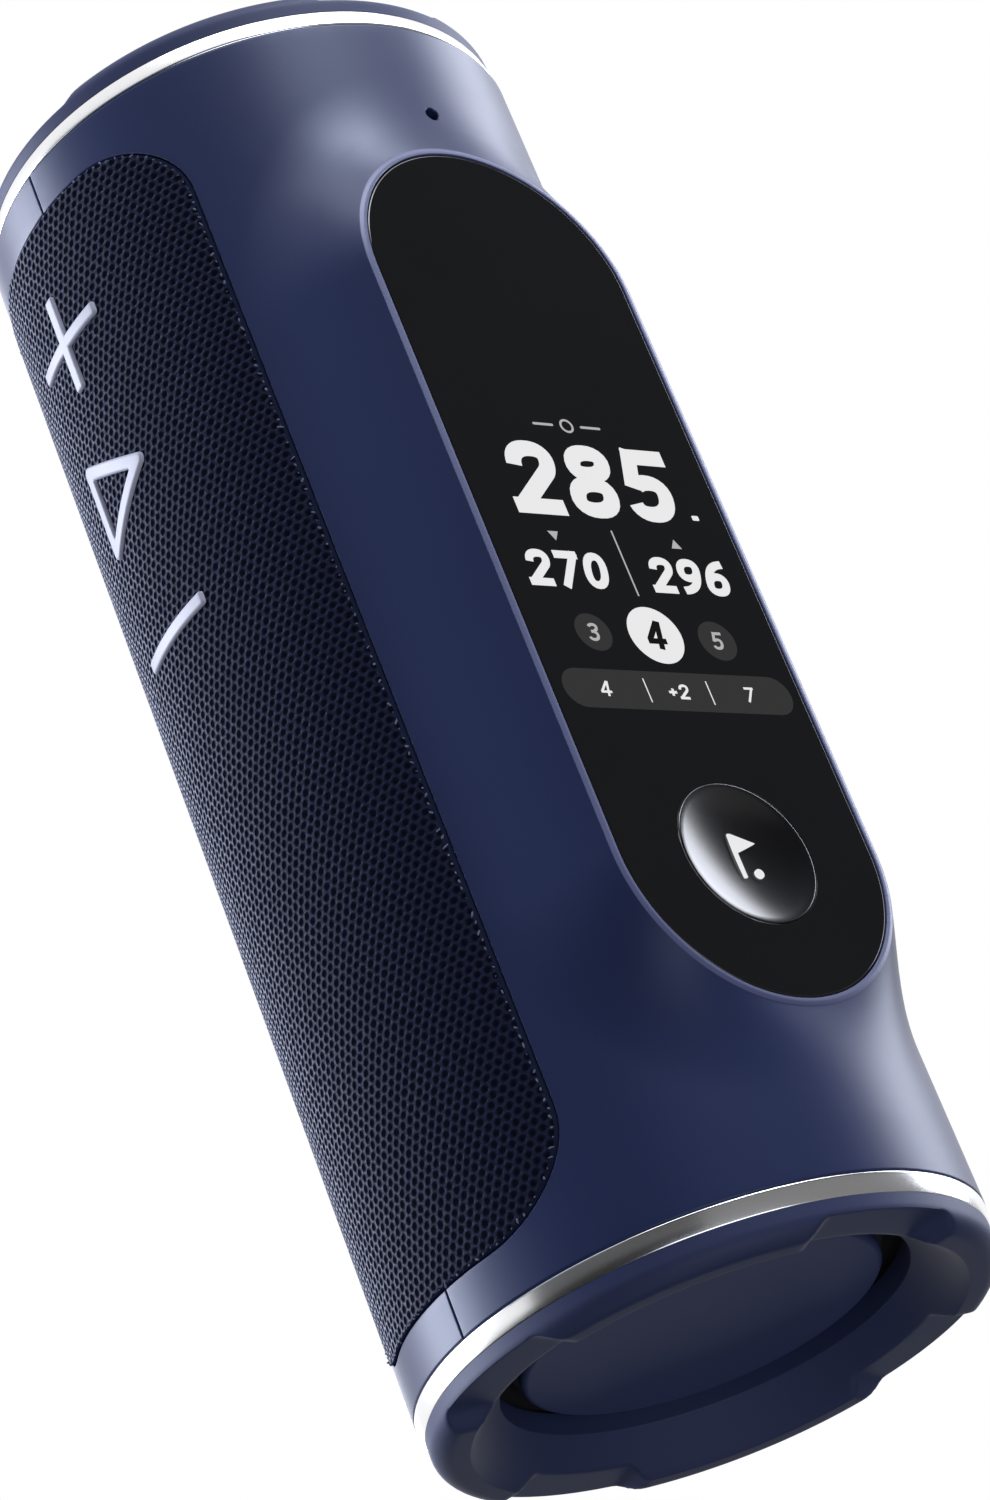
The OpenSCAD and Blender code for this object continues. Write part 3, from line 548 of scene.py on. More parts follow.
FINISHES: dict[Slot, Finish] = {
    # The casing's rim colour is a painted highlight along the display rim.
    Slot.CASING: ShellFinish("satin navy casing", (0.0140, 0.0228, 0.079), 0.39, specular=0.40,
                             specular_tint=(0.78, 0.84, 1.0), grain_height=0.004, mottle=0.03, haze=0.04,
                             rim_highlight_colour=(0.085, 0.095, 0.19)),
    Slot.GRILLE: Finish("moulded black grille", (0.010, 0.011, 0.016), 0.6, grain_height=0.02),
    # The cloth's thread colour is a painted highlight on the thread crowns.
    Slot.CLOTH: ClothFinish("navy acoustic mesh", (0.0080, 0.0104, 0.0280), 0.40, specular=0.0, sheen=0.28,
                            sheen_tint=(0.62, 0.67, 0.95), thread_highlight_colour=(0.016, 0.019, 0.038)),
    Slot.KEY: Finish("pale lavender key", (0.40, 0.41, 0.51), 0.5, grain_height=0.003, mottle=0.02),
    Slot.CIRCUIT_BOARD: Finish("green solder mask", (0.010, 0.075, 0.028), 0.35, coat=0.3, mottle=0.35,
                               grain_scale=900.0),
    Slot.SWITCH: Finish("stamped switch steel", (0.55, 0.55, 0.57), 0.35, metallic=1.0, grain_height=0.003),
    Slot.GLASS: Finish("black printed glass", (0.0112, 0.0112, 0.0114), 0.06, specular=0.35,
                       grain_scale=400.0, grain_height=0.0004, mottle=0.05, haze=0.02),
    Slot.GASKET: Finish("black foam", (0.012, 0.012, 0.013), 0.9, grain_height=0.05, grain_scale=5000.0,
                        mottle=0.2),
    Slot.PANEL: Finish("dark display panel", (0.006, 0.006, 0.008), 0.12, coat=0.5, mottle=0.1),
    Slot.TRAY: Finish("stamped tray steel", (0.45, 0.45, 0.47), 0.4, metallic=1.0, grain_height=0.004),
    Slot.SCREW: TurnedFinish("machined screw steel", (0.5, 0.5, 0.52), 0.3, metallic=1.0),
    Slot.CERAMIC: Finish("fired ceramic", (0.48, 0.40, 0.28), 0.55, grain_height=0.01, mottle=0.15),
    Slot.BUTTON: Finish("gloss black button", (0.004, 0.004, 0.0045), 0.20, specular=0.8, grain_scale=300.0,
                        grain_height=0.0003, mottle=0.05, haze=0.02),
    Slot.MESH: Finish("woven wire", (0.08, 0.08, 0.085), 0.4, metallic=1.0, grain_height=0.03,
                      grain_scale=6000.0),
    Slot.CHASSIS: Finish("moulded chassis", (0.022, 0.024, 0.030), 0.55, grain_height=0.01, mottle=0.1),
    Slot.CHIP: Finish("moulded epoxy", (0.008, 0.008, 0.009), 0.5, grain_height=0.01, mottle=0.2),
    Slot.CELL: Finish("shrink sleeve", (0.020, 0.14, 0.28), 0.3, coat=0.4, grain_scale=500.0, mottle=0.08),
    Slot.MAGNET: Finish("nickel plate", (0.55, 0.54, 0.52), 0.22, metallic=1.0, grain_height=0.002),
    Slot.SOCKET: Finish("drawn steel shell", (0.50, 0.50, 0.52), 0.3, metallic=1.0, grain_height=0.002),
    Slot.FLAP: Finish("navy rubber flap", (0.016, 0.020, 0.062), 0.6, grain_height=0.01, mottle=0.05),
    Slot.BASKET: Finish("coated steel basket", (0.13, 0.14, 0.16), 0.45, grain_height=0.01, mottle=0.08),
    Slot.CONE: Finish("coated paper cone", (0.014, 0.014, 0.016), 0.7, grain_height=0.03, grain_scale=2500.0,
                      mottle=0.2),
    Slot.SURROUND: Finish("black rubber surround", (0.009, 0.009, 0.012), 0.55, grain_height=0.005),
    Slot.RING: TurnedFinish("polished steel", (0.86, 0.86, 0.87), 0.2, metallic=1.0, haze=0.05),
    Slot.CAP: Finish("soft navy rubber", (0.023, 0.031, 0.086), 0.55, specular=0.32,
                     specular_tint=(0.78, 0.84, 1.0), grain_height=0.006, mottle=0.04),
    Slot.PLATE: Finish("satin navy plate", (0.032, 0.043, 0.115), 0.5, specular=0.15, grain_height=0.004,
                       mottle=0.04),
    Slot.WEIGHT: Finish("pressed steel", (0.35, 0.35, 0.37), 0.45, metallic=1.0, grain_height=0.006,
                        mottle=0.1),
}
# The cut threads' pale colour is a painted highlight on threads of the cloth's own navy.
EDGE_THREAD_HIGHLIGHT = Finish("cut cloth thread painted highlight", (0.13, 0.14, 0.20), 0.85, specular=0.0, grain_height=0.02,
                     grain_scale=6000.0)
INSIDE_CLOTH = Finish("navy cloth backing", (0.011, 0.014, 0.034), 0.8, specular=0.0, grain_height=0.05,
                      grain_scale=2500.0, mottle=0.2)
LIT_WHITE = LitFinish("lit white sign", (0.82, 0.82, 0.83), 0.4, specular=0.0, mottle=0.02)
LIT_GREY = LitFinish("lit grey sign", (0.45, 0.45, 0.46), 0.4, specular=0.0, mottle=0.02)
LIT_DIM = LitFinish("lit dim ground", (0.036, 0.036, 0.037), 0.4, specular=0.0, mottle=0.02)
LIT_DARK = LitFinish("unlit sign", (0.009, 0.009, 0.009), 0.4, specular=0.0, mottle=0.02)


@cache
def effects() -> Effects:
    """The shader groups, built once."""
    return Effects()


@cache
def worn(finish: Finish | Slot) -> Material:
    """The material of a finish or of a slot's finish, made once."""
    chosen = FINISHES[finish] if isinstance(finish, Slot) else finish
    return chosen.material(effects())


# ------------------------------------------------------------------------------------ meshing


def inside(points: np.ndarray, loop: Loop) -> np.ndarray:
    """Which flat points lie inside a closed loop.

    Args:
        points: n by 2.
        loop: m by 2, in order.
    Returns:
        A mask of n.
    """
    x, y = points[:, 0], points[:, 1]
    mask = np.zeros(len(points), bool)
    ends = np.roll(loop, -1, axis=0)
    for (ax, ay), (bx, by) in zip(loop, ends):
        crosses = (ay > y) != (by > y)
        if crosses.any():
            at = ax + (y[crosses] - ay) * (bx - ax) / (by - ay)
            mask[np.flatnonzero(crosses)[x[crosses] < at]] ^= True
    return mask


def clear_of(points: np.ndarray, loop: Loop, gap: float) -> np.ndarray:
    """Which points stay a gap away from every side of a closed loop.

    Args:
        points: n by 2.
        loop: m by 2, in order.
        gap: the distance.
    Returns:
        A mask of n.
    """
    keep = np.ones(len(points), bool)
    ends = np.roll(loop, -1, axis=0)
    for start in range(0, len(loop), 64):
        near, far = loop[None, start:start + 64], ends[None, start:start + 64]
        way = far - near
        along = np.sum((points[:, None] - near) * way, axis=2) / np.maximum(np.sum(way * way, axis=2), 1e-12)
        foot = near + way * np.clip(along, 0.0, 1.0)[..., None]
        keep &= np.min(np.linalg.norm(points[:, None] - foot, axis=2), axis=1) > gap
    return keep


def apart(points: np.ndarray, others: np.ndarray, gap: float) -> np.ndarray:
    """Which points stay a gap away from every one of the others.

    Args:
        points: n by 2.
        others: m by 2.
        gap: the distance.
    Returns:
        A mask of n.
    """
    keep = np.ones(len(points), bool)
    for start in range(0, len(others), 64):
        part = others[None, start:start + 64]
        keep &= np.min(np.linalg.norm(points[:, None] - part, axis=2), axis=1) > gap
    return keep


def hex_grid(low: Sequence[float], high: Sequence[float], step: float) -> np.ndarray:
    """Staggered points over a flat box.

    Args:
        low: the box's lower corner.
        high: its upper corner.
        step: their spacing.
    Returns:
        The points, n by 2.
    """
    rows = []
    for number, y in enumerate(np.arange(low[1], high[1], step * 0.866)):
        x = np.arange(low[0] + (number % 2) * step / 2, high[0], step)
        rows.append(np.stack([x, np.full(len(x), y)], axis=1))
    return np.concatenate(rows)


def fill_area(loops: Sequence[Loop], step: float, extra: Loop | None = None) -> tuple[Loop, list[Face]]:
    """Triangulates the area inside the first loop and outside the others.

    Args:
        loops: closed flat loops, the outer one first.
        step: spacing of the points put inside.
        extra: further inner points, which the grid keeps away from.
    Returns:
        The flat points and the triangles.
    """
    grid = hex_grid(loops[0].min(axis=0), loops[0].max(axis=0), step)
    groups = [grid] if extra is None else [grid, extra]
    if extra is not None and len(extra):
        groups[0] = grid[apart(grid, extra, step * 0.7)]
    inner = []
    for points in groups:
        mask = inside(points, loops[0])
        for hole in loops[1:]:
            mask &= ~inside(points, hole)
        points = points[mask]
        for loop in loops:
            spacing = np.median(np.hypot(*(loop - np.roll(loop, 1, axis=0)).T))
            points = points[clear_of(points, loop, max(0.4 * spacing, 0.05))]
        inner.append(points)
    flat = np.concatenate([*loops, *inner])
    edges = []
    start = 0
    for loop in loops:
        count = len(loop)
        edges += [(start + k, start + (k + 1) % count) for k in range(count)]
        start += count
    found = delaunay_2d_cdt([Vector(p) for p in flat.tolist()], edges, [], 0, 1e-6)
    source = np.array([ids[0] for ids in found[3]])
    faces = [tuple(face) for face in found[2]]
    walls = {frozenset(edge) for edge, given in zip(found[1], found[4]) if given}
    triangles = source[np.array(faces)]
    corners = flat[triangles]
    one, two = corners[:, 1] - corners[:, 0], corners[:, 2] - corners[:, 0]
    areas = np.abs(one[:, 0] * two[:, 1] - one[:, 1] * two[:, 0]) / 2
    centres = corners.mean(axis=1)
    wanted = inside(centres, loops[0])
    for hole in loops[1:]:
        wanted &= ~inside(centres, hole)
    kept = []
    for region in regions(faces, walls):
        largest = region[int(np.argmax(areas[region]))]
        if wanted[largest] and areas[largest] > 1e-6:
            kept += region
    return flat, [tuple(int(v) for v in triangles[k]) for k in kept]


def regions(faces: Sequence[Face], walls: set[frozenset[int]]) -> list[list[int]]:
    """Groups triangles that meet across edges other than walls.

    Args:
        faces: the triangles.
        walls: edges that part two regions.
    Returns:
        The numbers of the triangles of each region.
    """
    across: dict[frozenset[int], list[int]] = {}
    for number, face in enumerate(faces):
        for k in range(3):
            across.setdefault(frozenset((face[k], face[(k + 1) % 3])), []).append(number)
    near: list[list[int]] = [[] for _ in faces]
    for edge, sides in across.items():
        if len(sides) == 2 and edge not in walls:
            near[sides[0]].append(sides[1])
            near[sides[1]].append(sides[0])
    seen = [False] * len(faces)
    found = []
    for start in range(len(faces)):
        if seen[start]:
            continue
        seen[start] = True
        group, waiting = [], [start]
        while waiting:
            number = waiting.pop()
            group.append(number)
            for other in near[number]:
                if not seen[other]:
                    seen[other] = True
                    waiting.append(other)
        found.append(group)
    return found


class Skin:
    """Gathers the faces of one piece, in millimetres, and makes its object."""

    def __init__(self, name: str) -> None:
        """Starts an empty piece of that name.

        Args:
            name: the piece's name.
        """
        self.name = name
        self.points: list[np.ndarray] = []
        self.faces: list[Face] = []
        self.count = 0

    def put(self, points: np.ndarray) -> int:
        """Adds points.

        Args:
            points: n by 3, in millimetres.
        Returns:
            The number of the first one.
        """
        first = self.count
        self.points.append(np.asarray(points, float))
        self.count += len(points)
        return first

    def bands(self, rings: Sequence[np.ndarray], closed: bool = True) -> None:
        """Joins rings of equally many points with quads.

        Args:
            rings: the rings, in order.
            closed: False leaves each ring open between its ends.
        """
        starts = [self.put(ring) for ring in rings]
        size = len(rings[0])
        last = size if closed else size - 1
        for a, b in zip(starts, starts[1:]):
            for k in range(last):
                n = (k + 1) % size
                self.faces.append((a + k, a + n, b + n, b + k))

    def fill(self, loops: Sequence[Loop], step: float, place: Callable[[np.ndarray], np.ndarray],
             extra: np.ndarray | None = None) -> None:
        """Fills a flat area and puts it in place.

        Args:
            loops: closed flat loops, the outer one first.
            step: spacing of the inner points.
            place: turns flat points into points in space.
            extra: further inner points.
        """
        flat, triangles = fill_area(loops, step, extra)
        first = self.put(place(flat))
        self.faces += [tuple(first + v for v in t) for t in triangles]

    def plate(self, levels: Sequence[tuple[Sequence[Loop], float]], steps: Pair, facing: float) -> None:
        """Adds a plate that lies on a cylinder.

        Args:
            levels: outlines and their radius, from the upper face down to the foot.
            steps: spacing of the inner points of the upper face and of the foot.
            facing: the azimuth of its middle.
        """
        for number in range(len(levels[0][0])):
            self.bands([roll_up(loops[number], radius, facing) for loops, radius in levels])
        for (loops, radius), step in zip((levels[0], levels[-1]), steps):
            self.fill(loops, step, partial(roll_up, radius=radius, facing=facing))

    def make(self, material: Material, sharp: float = 35.0) -> Piece:
        """Makes the object.

        Args:
            material: what it wears.
            sharp: edges that bend more than this many degrees stay sharp.
        Returns:
            The object, closed and with its faces outwards.
        """
        mesh = bpy.data.meshes.new(self.name)
        points = np.concatenate(self.points) * MM
        mesh.from_pydata(points.tolist(), [], self.faces)
        work = bmesh.new()
        work.from_mesh(mesh)
        bmesh.ops.remove_doubles(work, verts=work.verts, dist=SAME_POINT)
        thin = [face for face in work.faces if len(face.verts) == 3 and face.calc_area() < THIN_FACE]
        if thin:
            edges = {edge for face in thin for edge in face.edges}
            near = {face for edge in edges for face in edge.link_faces if len(face.verts) == 3}
            inner = {edge for edge in edges if all(len(face.verts) == 3 for face in edge.link_faces)}
            bmesh.ops.beautify_fill(work, faces=list(near), edges=list(inner), method="AREA")
        bmesh.ops.recalc_face_normals(work, faces=work.faces)
        open_edges = sum(1 for edge in work.edges if len(edge.link_faces) != 2)
        if open_edges:
            LOG.warning("%s has %d edges that are not closed", self.name, open_edges)
        work.to_mesh(mesh)
        work.free()
        piece = dress(mesh, self.name, material, sharp)
        lead_flat(piece)
        return piece

    def placed(self, slot: Slot, body: str, node: str, sharp: float) -> Piece:
        """Makes the object in its slot's finish and puts it on a body, in place of a node."""
        return settle(self.make(worn(slot), sharp), body, slot, node)


def lead_flat(piece: Piece) -> None:
    """Lets larger faces lead the shading, so that a flat stays flat beside its rounded edge.

    Args:
        piece: the piece, which gets a new mesh.
    """
    rule = piece.modifiers.new("flat faces lead", "WEIGHTED_NORMAL")
    rule.keep_sharp = True
    graph = bpy.context.evaluated_depsgraph_get()
    shaped = piece.evaluated_get(graph)
    mesh = bpy.data.meshes.new_from_object(shaped, preserve_all_data_layers=True, depsgraph=graph)
    piece.modifiers.remove(rule)
    mesh.name, plain_mesh, piece.data = piece.name, piece.data, mesh
    bpy.data.meshes.remove(plain_mesh)


def dress(mesh: Mesh, name: str, material: Material, sharp: float) -> Piece:
    """Puts a mesh into the scene with smooth faces, sharp edges and a material.

    Args:
        mesh: the mesh.
        name: the piece's name.
        material: what it wears.
        sharp: edges that bend more than this many degrees stay sharp.
    Returns:
        The piece.
    """
    mesh.materials.clear()
    mesh.materials.append(material)
    mesh.shade_smooth()
    mesh.set_sharp_from_angle(angle=math.radians(sharp))
    piece = bpy.data.objects.new(name, mesh)
    bpy.context.scene.collection.objects.link(piece)
    return piece


def places_of(mesh: Mesh) -> np.ndarray:
    """The places of a mesh's vertices, n by 3, in metres.

    Args:
        mesh: the mesh.
    Returns:
        The places.
    """
    places = np.empty(len(mesh.vertices) * 3)
    mesh.vertices.foreach_get("co", places)
    return places.reshape(-1, 3)


def finish_mesh(work: bmesh.types.BMesh, mesh: Mesh, merge: float) -> None:
    """Merges close points, turns the faces outwards and writes a mesh.

    Args:
        work: the edited mesh, which is freed.
        mesh: the mesh that is written.
        merge: points closer than this, in metres, are one point.
    """
    bmesh.ops.remove_doubles(work, verts=work.verts, dist=merge)
    bmesh.ops.recalc_face_normals(work, faces=work.faces)
    work.to_mesh(mesh)
    work.free()


def settle(piece: Piece, body: str, slot: Slot, *nodes: str) -> Piece:
    """Puts a piece on its body.

    Args:
        piece: the piece.
        body: the body that it moves with.
        slot: the material slot of its finish; not used.
        nodes: the construction nodes that it stands for.
    Returns:
        The piece.
    """
    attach(piece, body)
    if nodes:
        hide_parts(*nodes)
    return piece


def around(azimuth: np.ndarray, radius: float | np.ndarray, height: float | np.ndarray) -> np.ndarray:
    """Points round the casing axis.

    Args:
        azimuth: degrees from the display, towards +X.
        radius: distance off the axis.
        height: distance above the base.
    Returns:
        The points, n by 3.
    """
    angle = np.radians(np.asarray(azimuth, float))
    ones = np.ones_like(angle)
    return np.stack([np.sin(angle) * radius, -np.cos(angle) * radius, ones * height], axis=1)


def lathe(name: str, profile: Sequence[Pair], material: Material, steps: int = 192,
          shape: Callable[[np.ndarray, float, float], Track] | None = None,
          sharp: float = 35.0) -> Piece:
    """Turns a closed outline of radius and height round the vertical axis.

    Args:
        name: the piece's name.
        profile: the outline's corners, in order. Corners on the axis become poles.
        material: what it wears.
        steps: how many points go round.
        shape: changes a corner's radius and height by azimuth.
        sharp: edges that bend more than this many degrees stay sharp.
    Returns:
        The object.
    """
    skin = Skin(name)
    azimuths = np.arange(steps) * 360.0 / steps
    rings = []
    for radius, height in profile:
        corner = (radius, height) if shape is None else shape(azimuths, radius, height)
        rings.append(around(azimuths, *corner))
    on_axis = profile[0][0] == 0.0 and profile[-1][0] == 0.0
    skin.bands(rings if on_axis else [*rings, rings[0]])
    return skin.make(material, sharp)


def arc(centre: Pair, radius: float, start: float, end: float, count: int) -> list[Pair]:
    """Points of an arc from one angle in degrees to another, with both ends."""
    angles = [math.radians(start + (end - start) * k / count) for k in range(count + 1)]
    return [(centre[0] + radius * math.cos(a), centre[1] + radius * math.sin(a)) for a in angles]


def rounded_levels(outlines: Outlines, top: float, foot: float, edge: float,
                   count: int = 4) -> list[tuple[list[Loop], float]]:
    """Outlines and their radius, from the upper face of a plate, whose edge is rounded, down to its foot."""
    drops = [*((inset, top - drop) for inset, drop in rounding(edge, count)), (0.0, foot)]
    return [(outlines(inset, radius), radius) for inset, radius in drops]


def rounding(radius: float, count: int = 4) -> list[Pair]:
    """Inset and drop along a rounded edge, from the top face to the wall."""
    turns = [math.pi / 2 * k / count for k in range(count + 1)]
    return [(radius * (1 - math.sin(t)), radius * (1 - math.cos(t))) for t in turns]


# ----------------------------------------------------------------------------- geometry nodes


def close_growth(net: Net, out: Node, geometry: Socket, material: Material) -> Tree:
    """Ends a tree by realizing its instances and setting their material.

    Args:
        net: the tree's net.
        out: its output node.
        geometry: what it has made.
        material: what the geometry wears.
    Returns:
        The tree.
    """
    real = net.add("GeometryNodeRealizeInstances", {"Geometry": geometry})
    worn = net.add("GeometryNodeSetMaterial", {"Geometry": real.outputs[0], "Material": material})
    net.feed(out, "Geometry", worn.outputs[0])
    return net.tree


def grown(name: str, tree: Tree, seed: bpy.types.ID, sizes: Inputs, sharp: float) -> Piece:
    """Grows a plain mesh from a tree and its sizes.

    Args:
        name: the piece's name.
        tree: the Geometry Nodes tree.
        seed: the mesh or curve it starts from.
        sizes: the tree's inputs by name.
        sharp: edges that bend more than this many degrees stay sharp.
    Returns:
        The object, with its modifier removed.
    """
    source = bpy.data.objects.new(name + "_source", seed)
    bpy.context.scene.collection.objects.link(source)
    modifier = source.modifiers.new("growth", "NODES")
    modifier.node_group = tree
    for item in tree.interface.items_tree:
        if item.item_type == "SOCKET" and item.in_out == "INPUT" and item.name in sizes:
            modifier[item.identifier] = sizes[item.name]
    evaluated = source.evaluated_get(bpy.context.evaluated_depsgraph_get())
    mesh = bpy.data.meshes.new_from_object(evaluated)
    mesh.name = name
    source.modifiers.remove(modifier)
    bpy.data.objects.remove(source)
    return dress(mesh, name, mesh.materials[len(mesh.materials) - 1], sharp)


def ring_tree(material: Material) -> Tree:
    """A trim ring: a rounded four-cornered section swept round a circle.

    Args:
        material: what the ring wears.
    Returns:
        The tree.
    """
    titles = ("Path Radius", "Inner Offset", "Foot Offset", "Wide Offset", "Half Height", "Fillet")
    sizes = {"Geometry": None, **dict.fromkeys(titles, 0.001), "Sides": 256}
    net, given, out = new_tree("GeometryNodeTree", "trim ring sweep", sizes, {"Geometry": None})
    size = given.outputs
    rim = {"Resolution": size["Sides"], "Radius": size["Path Radius"]}
    path = net.add("GeometryNodeCurvePrimitiveCircle", rim, mode="RADIUS")
    high, low = size["Half Height"], net.math("MULTIPLY", size["Half Height"], -1.0)
    corners = (("Inner Offset", low), ("Foot Offset", low), ("Wide Offset", high), ("Inner Offset", high))
    places = enumerate(corners, start=1)
    points = {f"Point {k}": net.joined(size[title], height) for k, (title, height) in places}
    section = net.add("GeometryNodeCurvePrimitiveQuadrilateral", points, mode="POINTS")
    rounding_off = {"Curve": section.outputs[0], "Count": 4, "Radius": size["Fillet"]}
    soft = net.add("GeometryNodeFilletCurve", rounding_off, mode="POLY")
    sweep = net.add("GeometryNodeCurveToMesh", {"Curve": path.outputs[0], "Profile Curve": soft.outputs[0]})
    return close_growth(net, out, sweep.outputs[0], material)


def thread_tree(material: Material) -> Tree:
    """Short thread turns, one after another along a path, each turned and sized a little differently.

    Args:
        material: what the threads wear.
    Returns:
        The tree.
    """
    sizes = {"Geometry": None, "Spacing": 0.0009, "Thickness": 0.0003, "Stretch": 1.6, "Lean": 0.5, "Seed": 7}
    net, given, out = new_tree("GeometryNodeTree", "edge threads", sizes, {"Geometry": None})
    size = given.outputs
    spacing = {"Curve": size["Geometry"], "Length": size["Spacing"]}
    spaced = net.add("GeometryNodeResampleCurve", spacing, mode="LENGTH")
    bead = net.add("GeometryNodeMeshUVSphere", {"Segments": 6, "Rings": 4, "Radius": 0.5})
    along = {"Vector": net.add("GeometryNodeInputTangent").outputs[0]}
    facing = net.add("FunctionNodeAlignEulerToVector", along, axis="Z")
    least, most = net.math("MULTIPLY", size["Lean"], -1.0), size["Lean"]
    spread = {0: net.joined(least, least, least), 1: net.joined(most, most, most), "Seed": size["Seed"]}
    lean = net.add("FunctionNodeRandomValue", spread, data_type="FLOAT_VECTOR")
    turned = net.add("FunctionNodeRotateEuler", {0: facing.outputs[0], 1: lean.outputs[0]}, space="LOCAL")
    share = net.add("FunctionNodeRandomValue", {2: 0.55, 3: 1.2, "Seed": size["Seed"]}, data_type="FLOAT")
    thick = net.math("MULTIPLY", size["Thickness"], share.outputs[1])
    scale = net.joined(thick, thick, net.math("MULTIPLY", thick, size["Stretch"]))
    beads = {
        "Points": spaced.outputs[0], "Instance": bead.outputs[0], "Rotation": turned.outputs[0],
        "Scale": scale,
    }
    placed = net.add("GeometryNodeInstanceOnPoints", beads)
    return close_growth(net, out, placed.outputs[0], material)


# --------------------------------------------------------------------------------- the casing


@dataclass(frozen=True)
class Body:
    """Sizes that the casing, its ends and its openings share."""

    radius: float = 40.0
    bore: float = 37.4
    low: float = 7.1
    total: float = 202.2
    display_centre: float = 101.7
    display_half: float = 47.4
    glass_front: float = 40.2
    port: float = 30.0
    recess: Triple = (7.75, 4.75, 1.75)
    side_azimuth: float = 97.5
    window_half_width: float = 27.0236
    window_half_height: float = 86.9
    window_corner: float = 13.0

    @property
    def middle(self) -> float:
        """Height of the casing's middle."""
        return self.total / 2

    @property
    def high(self) -> float:
        """Height of the casing's upper end."""
        return self.total - self.low


BODY = Body()


def unroll(azimuth: np.ndarray, height: np.ndarray, radius: float) -> Loop:
    """Flat points, arc length by height, for points on a cylinder."""
    return np.stack([np.radians(azimuth) * radius, np.broadcast_to(height, np.shape(azimuth))], axis=1)


def roll_up(flat: np.ndarray, radius: float, facing: float = 0.0) -> np.ndarray:
    """Points in space for flat points on a cylinder."""
    return around(np.degrees(flat[:, 0] / radius) + facing, radius, flat[:, 1])


def wrapped(points: np.ndarray, radius: float, rise: float = 0.0) -> Loop:
    """Flat points on a cylinder for points seen straight on, raised by an amount."""
    return np.stack([np.arcsin(points[:, 0] / radius) * radius, points[:, 1] + rise], axis=1)


def facing_front(points: np.ndarray, depth: float) -> np.ndarray:
    """Points in space, at a depth in front of the axis, for points seen from the front."""
    return np.stack([points[:, 0], np.full(len(points), -depth), points[:, 1]], axis=1)


def rounded_rectangle(half_width: float, half_height: float, corner: float,
                      steps: tuple[int, int, int] = (24, 90, 12)) -> np.ndarray:
    """A rounded rectangle's points, equally many whatever its size.

    Args:
        half_width: half its width.
        half_height: half its height.
        corner: radius of its corners.
        steps: points along its width, its height and each corner.
    Returns:
        The points, n by 2, once round.
    """
    along_w, along_h, along_c = steps
    a, b = half_width - corner, half_height - corner
    points: list[Pair] = []
    sides = (
        ((a, -b), (a, b), (1, 0), along_h, 0.0), ((a, b), (-a, b), (0, 1), along_w, 90.0),
        ((-a, b), (-a, -b), (-1, 0), along_h, 180.0), ((-a, -b), (a, -b), (0, -1), along_w, 270.0),
    )
    for start, end, out, count, turn in sides:
        for k in range(count):
            f = k / count
            x, y = start[0] + (end[0] - start[0]) * f, start[1] + (end[1] - start[1]) * f
            points.append((x + out[0] * corner, y + out[1] * corner))
        points += arc(end, corner, turn, turn + 90.0, along_c)[:-1]
    return np.array(points)


def pill(distance: float, centre: float, half: float, side: int, bow: int = 64) -> Loop:
    """A pill's points, anticlockwise from the foot of its right side.

    Args:
        distance: how far it is from the line between its two centres.
        centre: the height of its middle.
        half: half the distance between its two centres.
        side: points along each straight side.
        bow: points round each end.
    Returns:
        The points, n by 2.
    """
    climb, turn = np.linspace(-1, 1, side, endpoint=False), np.linspace(0, 180, bow, endpoint=False)
    rise = np.concatenate([climb, np.ones(bow), -climb, -np.ones(bow)])
    angle = np.radians(np.concatenate([np.zeros(side), turn, np.full(side, 180.0), turn + 180.0]))
    return np.stack([np.cos(angle) * distance, centre + rise * half + np.sin(angle) * distance], axis=1)


def circle(radius: float, count: int = 48) -> np.ndarray:
    """A circle's points, n by 2."""
    turns = np.arange(count) * 2 * math.pi / count
    return np.stack([np.cos(turns), np.sin(turns)], axis=1) * radius


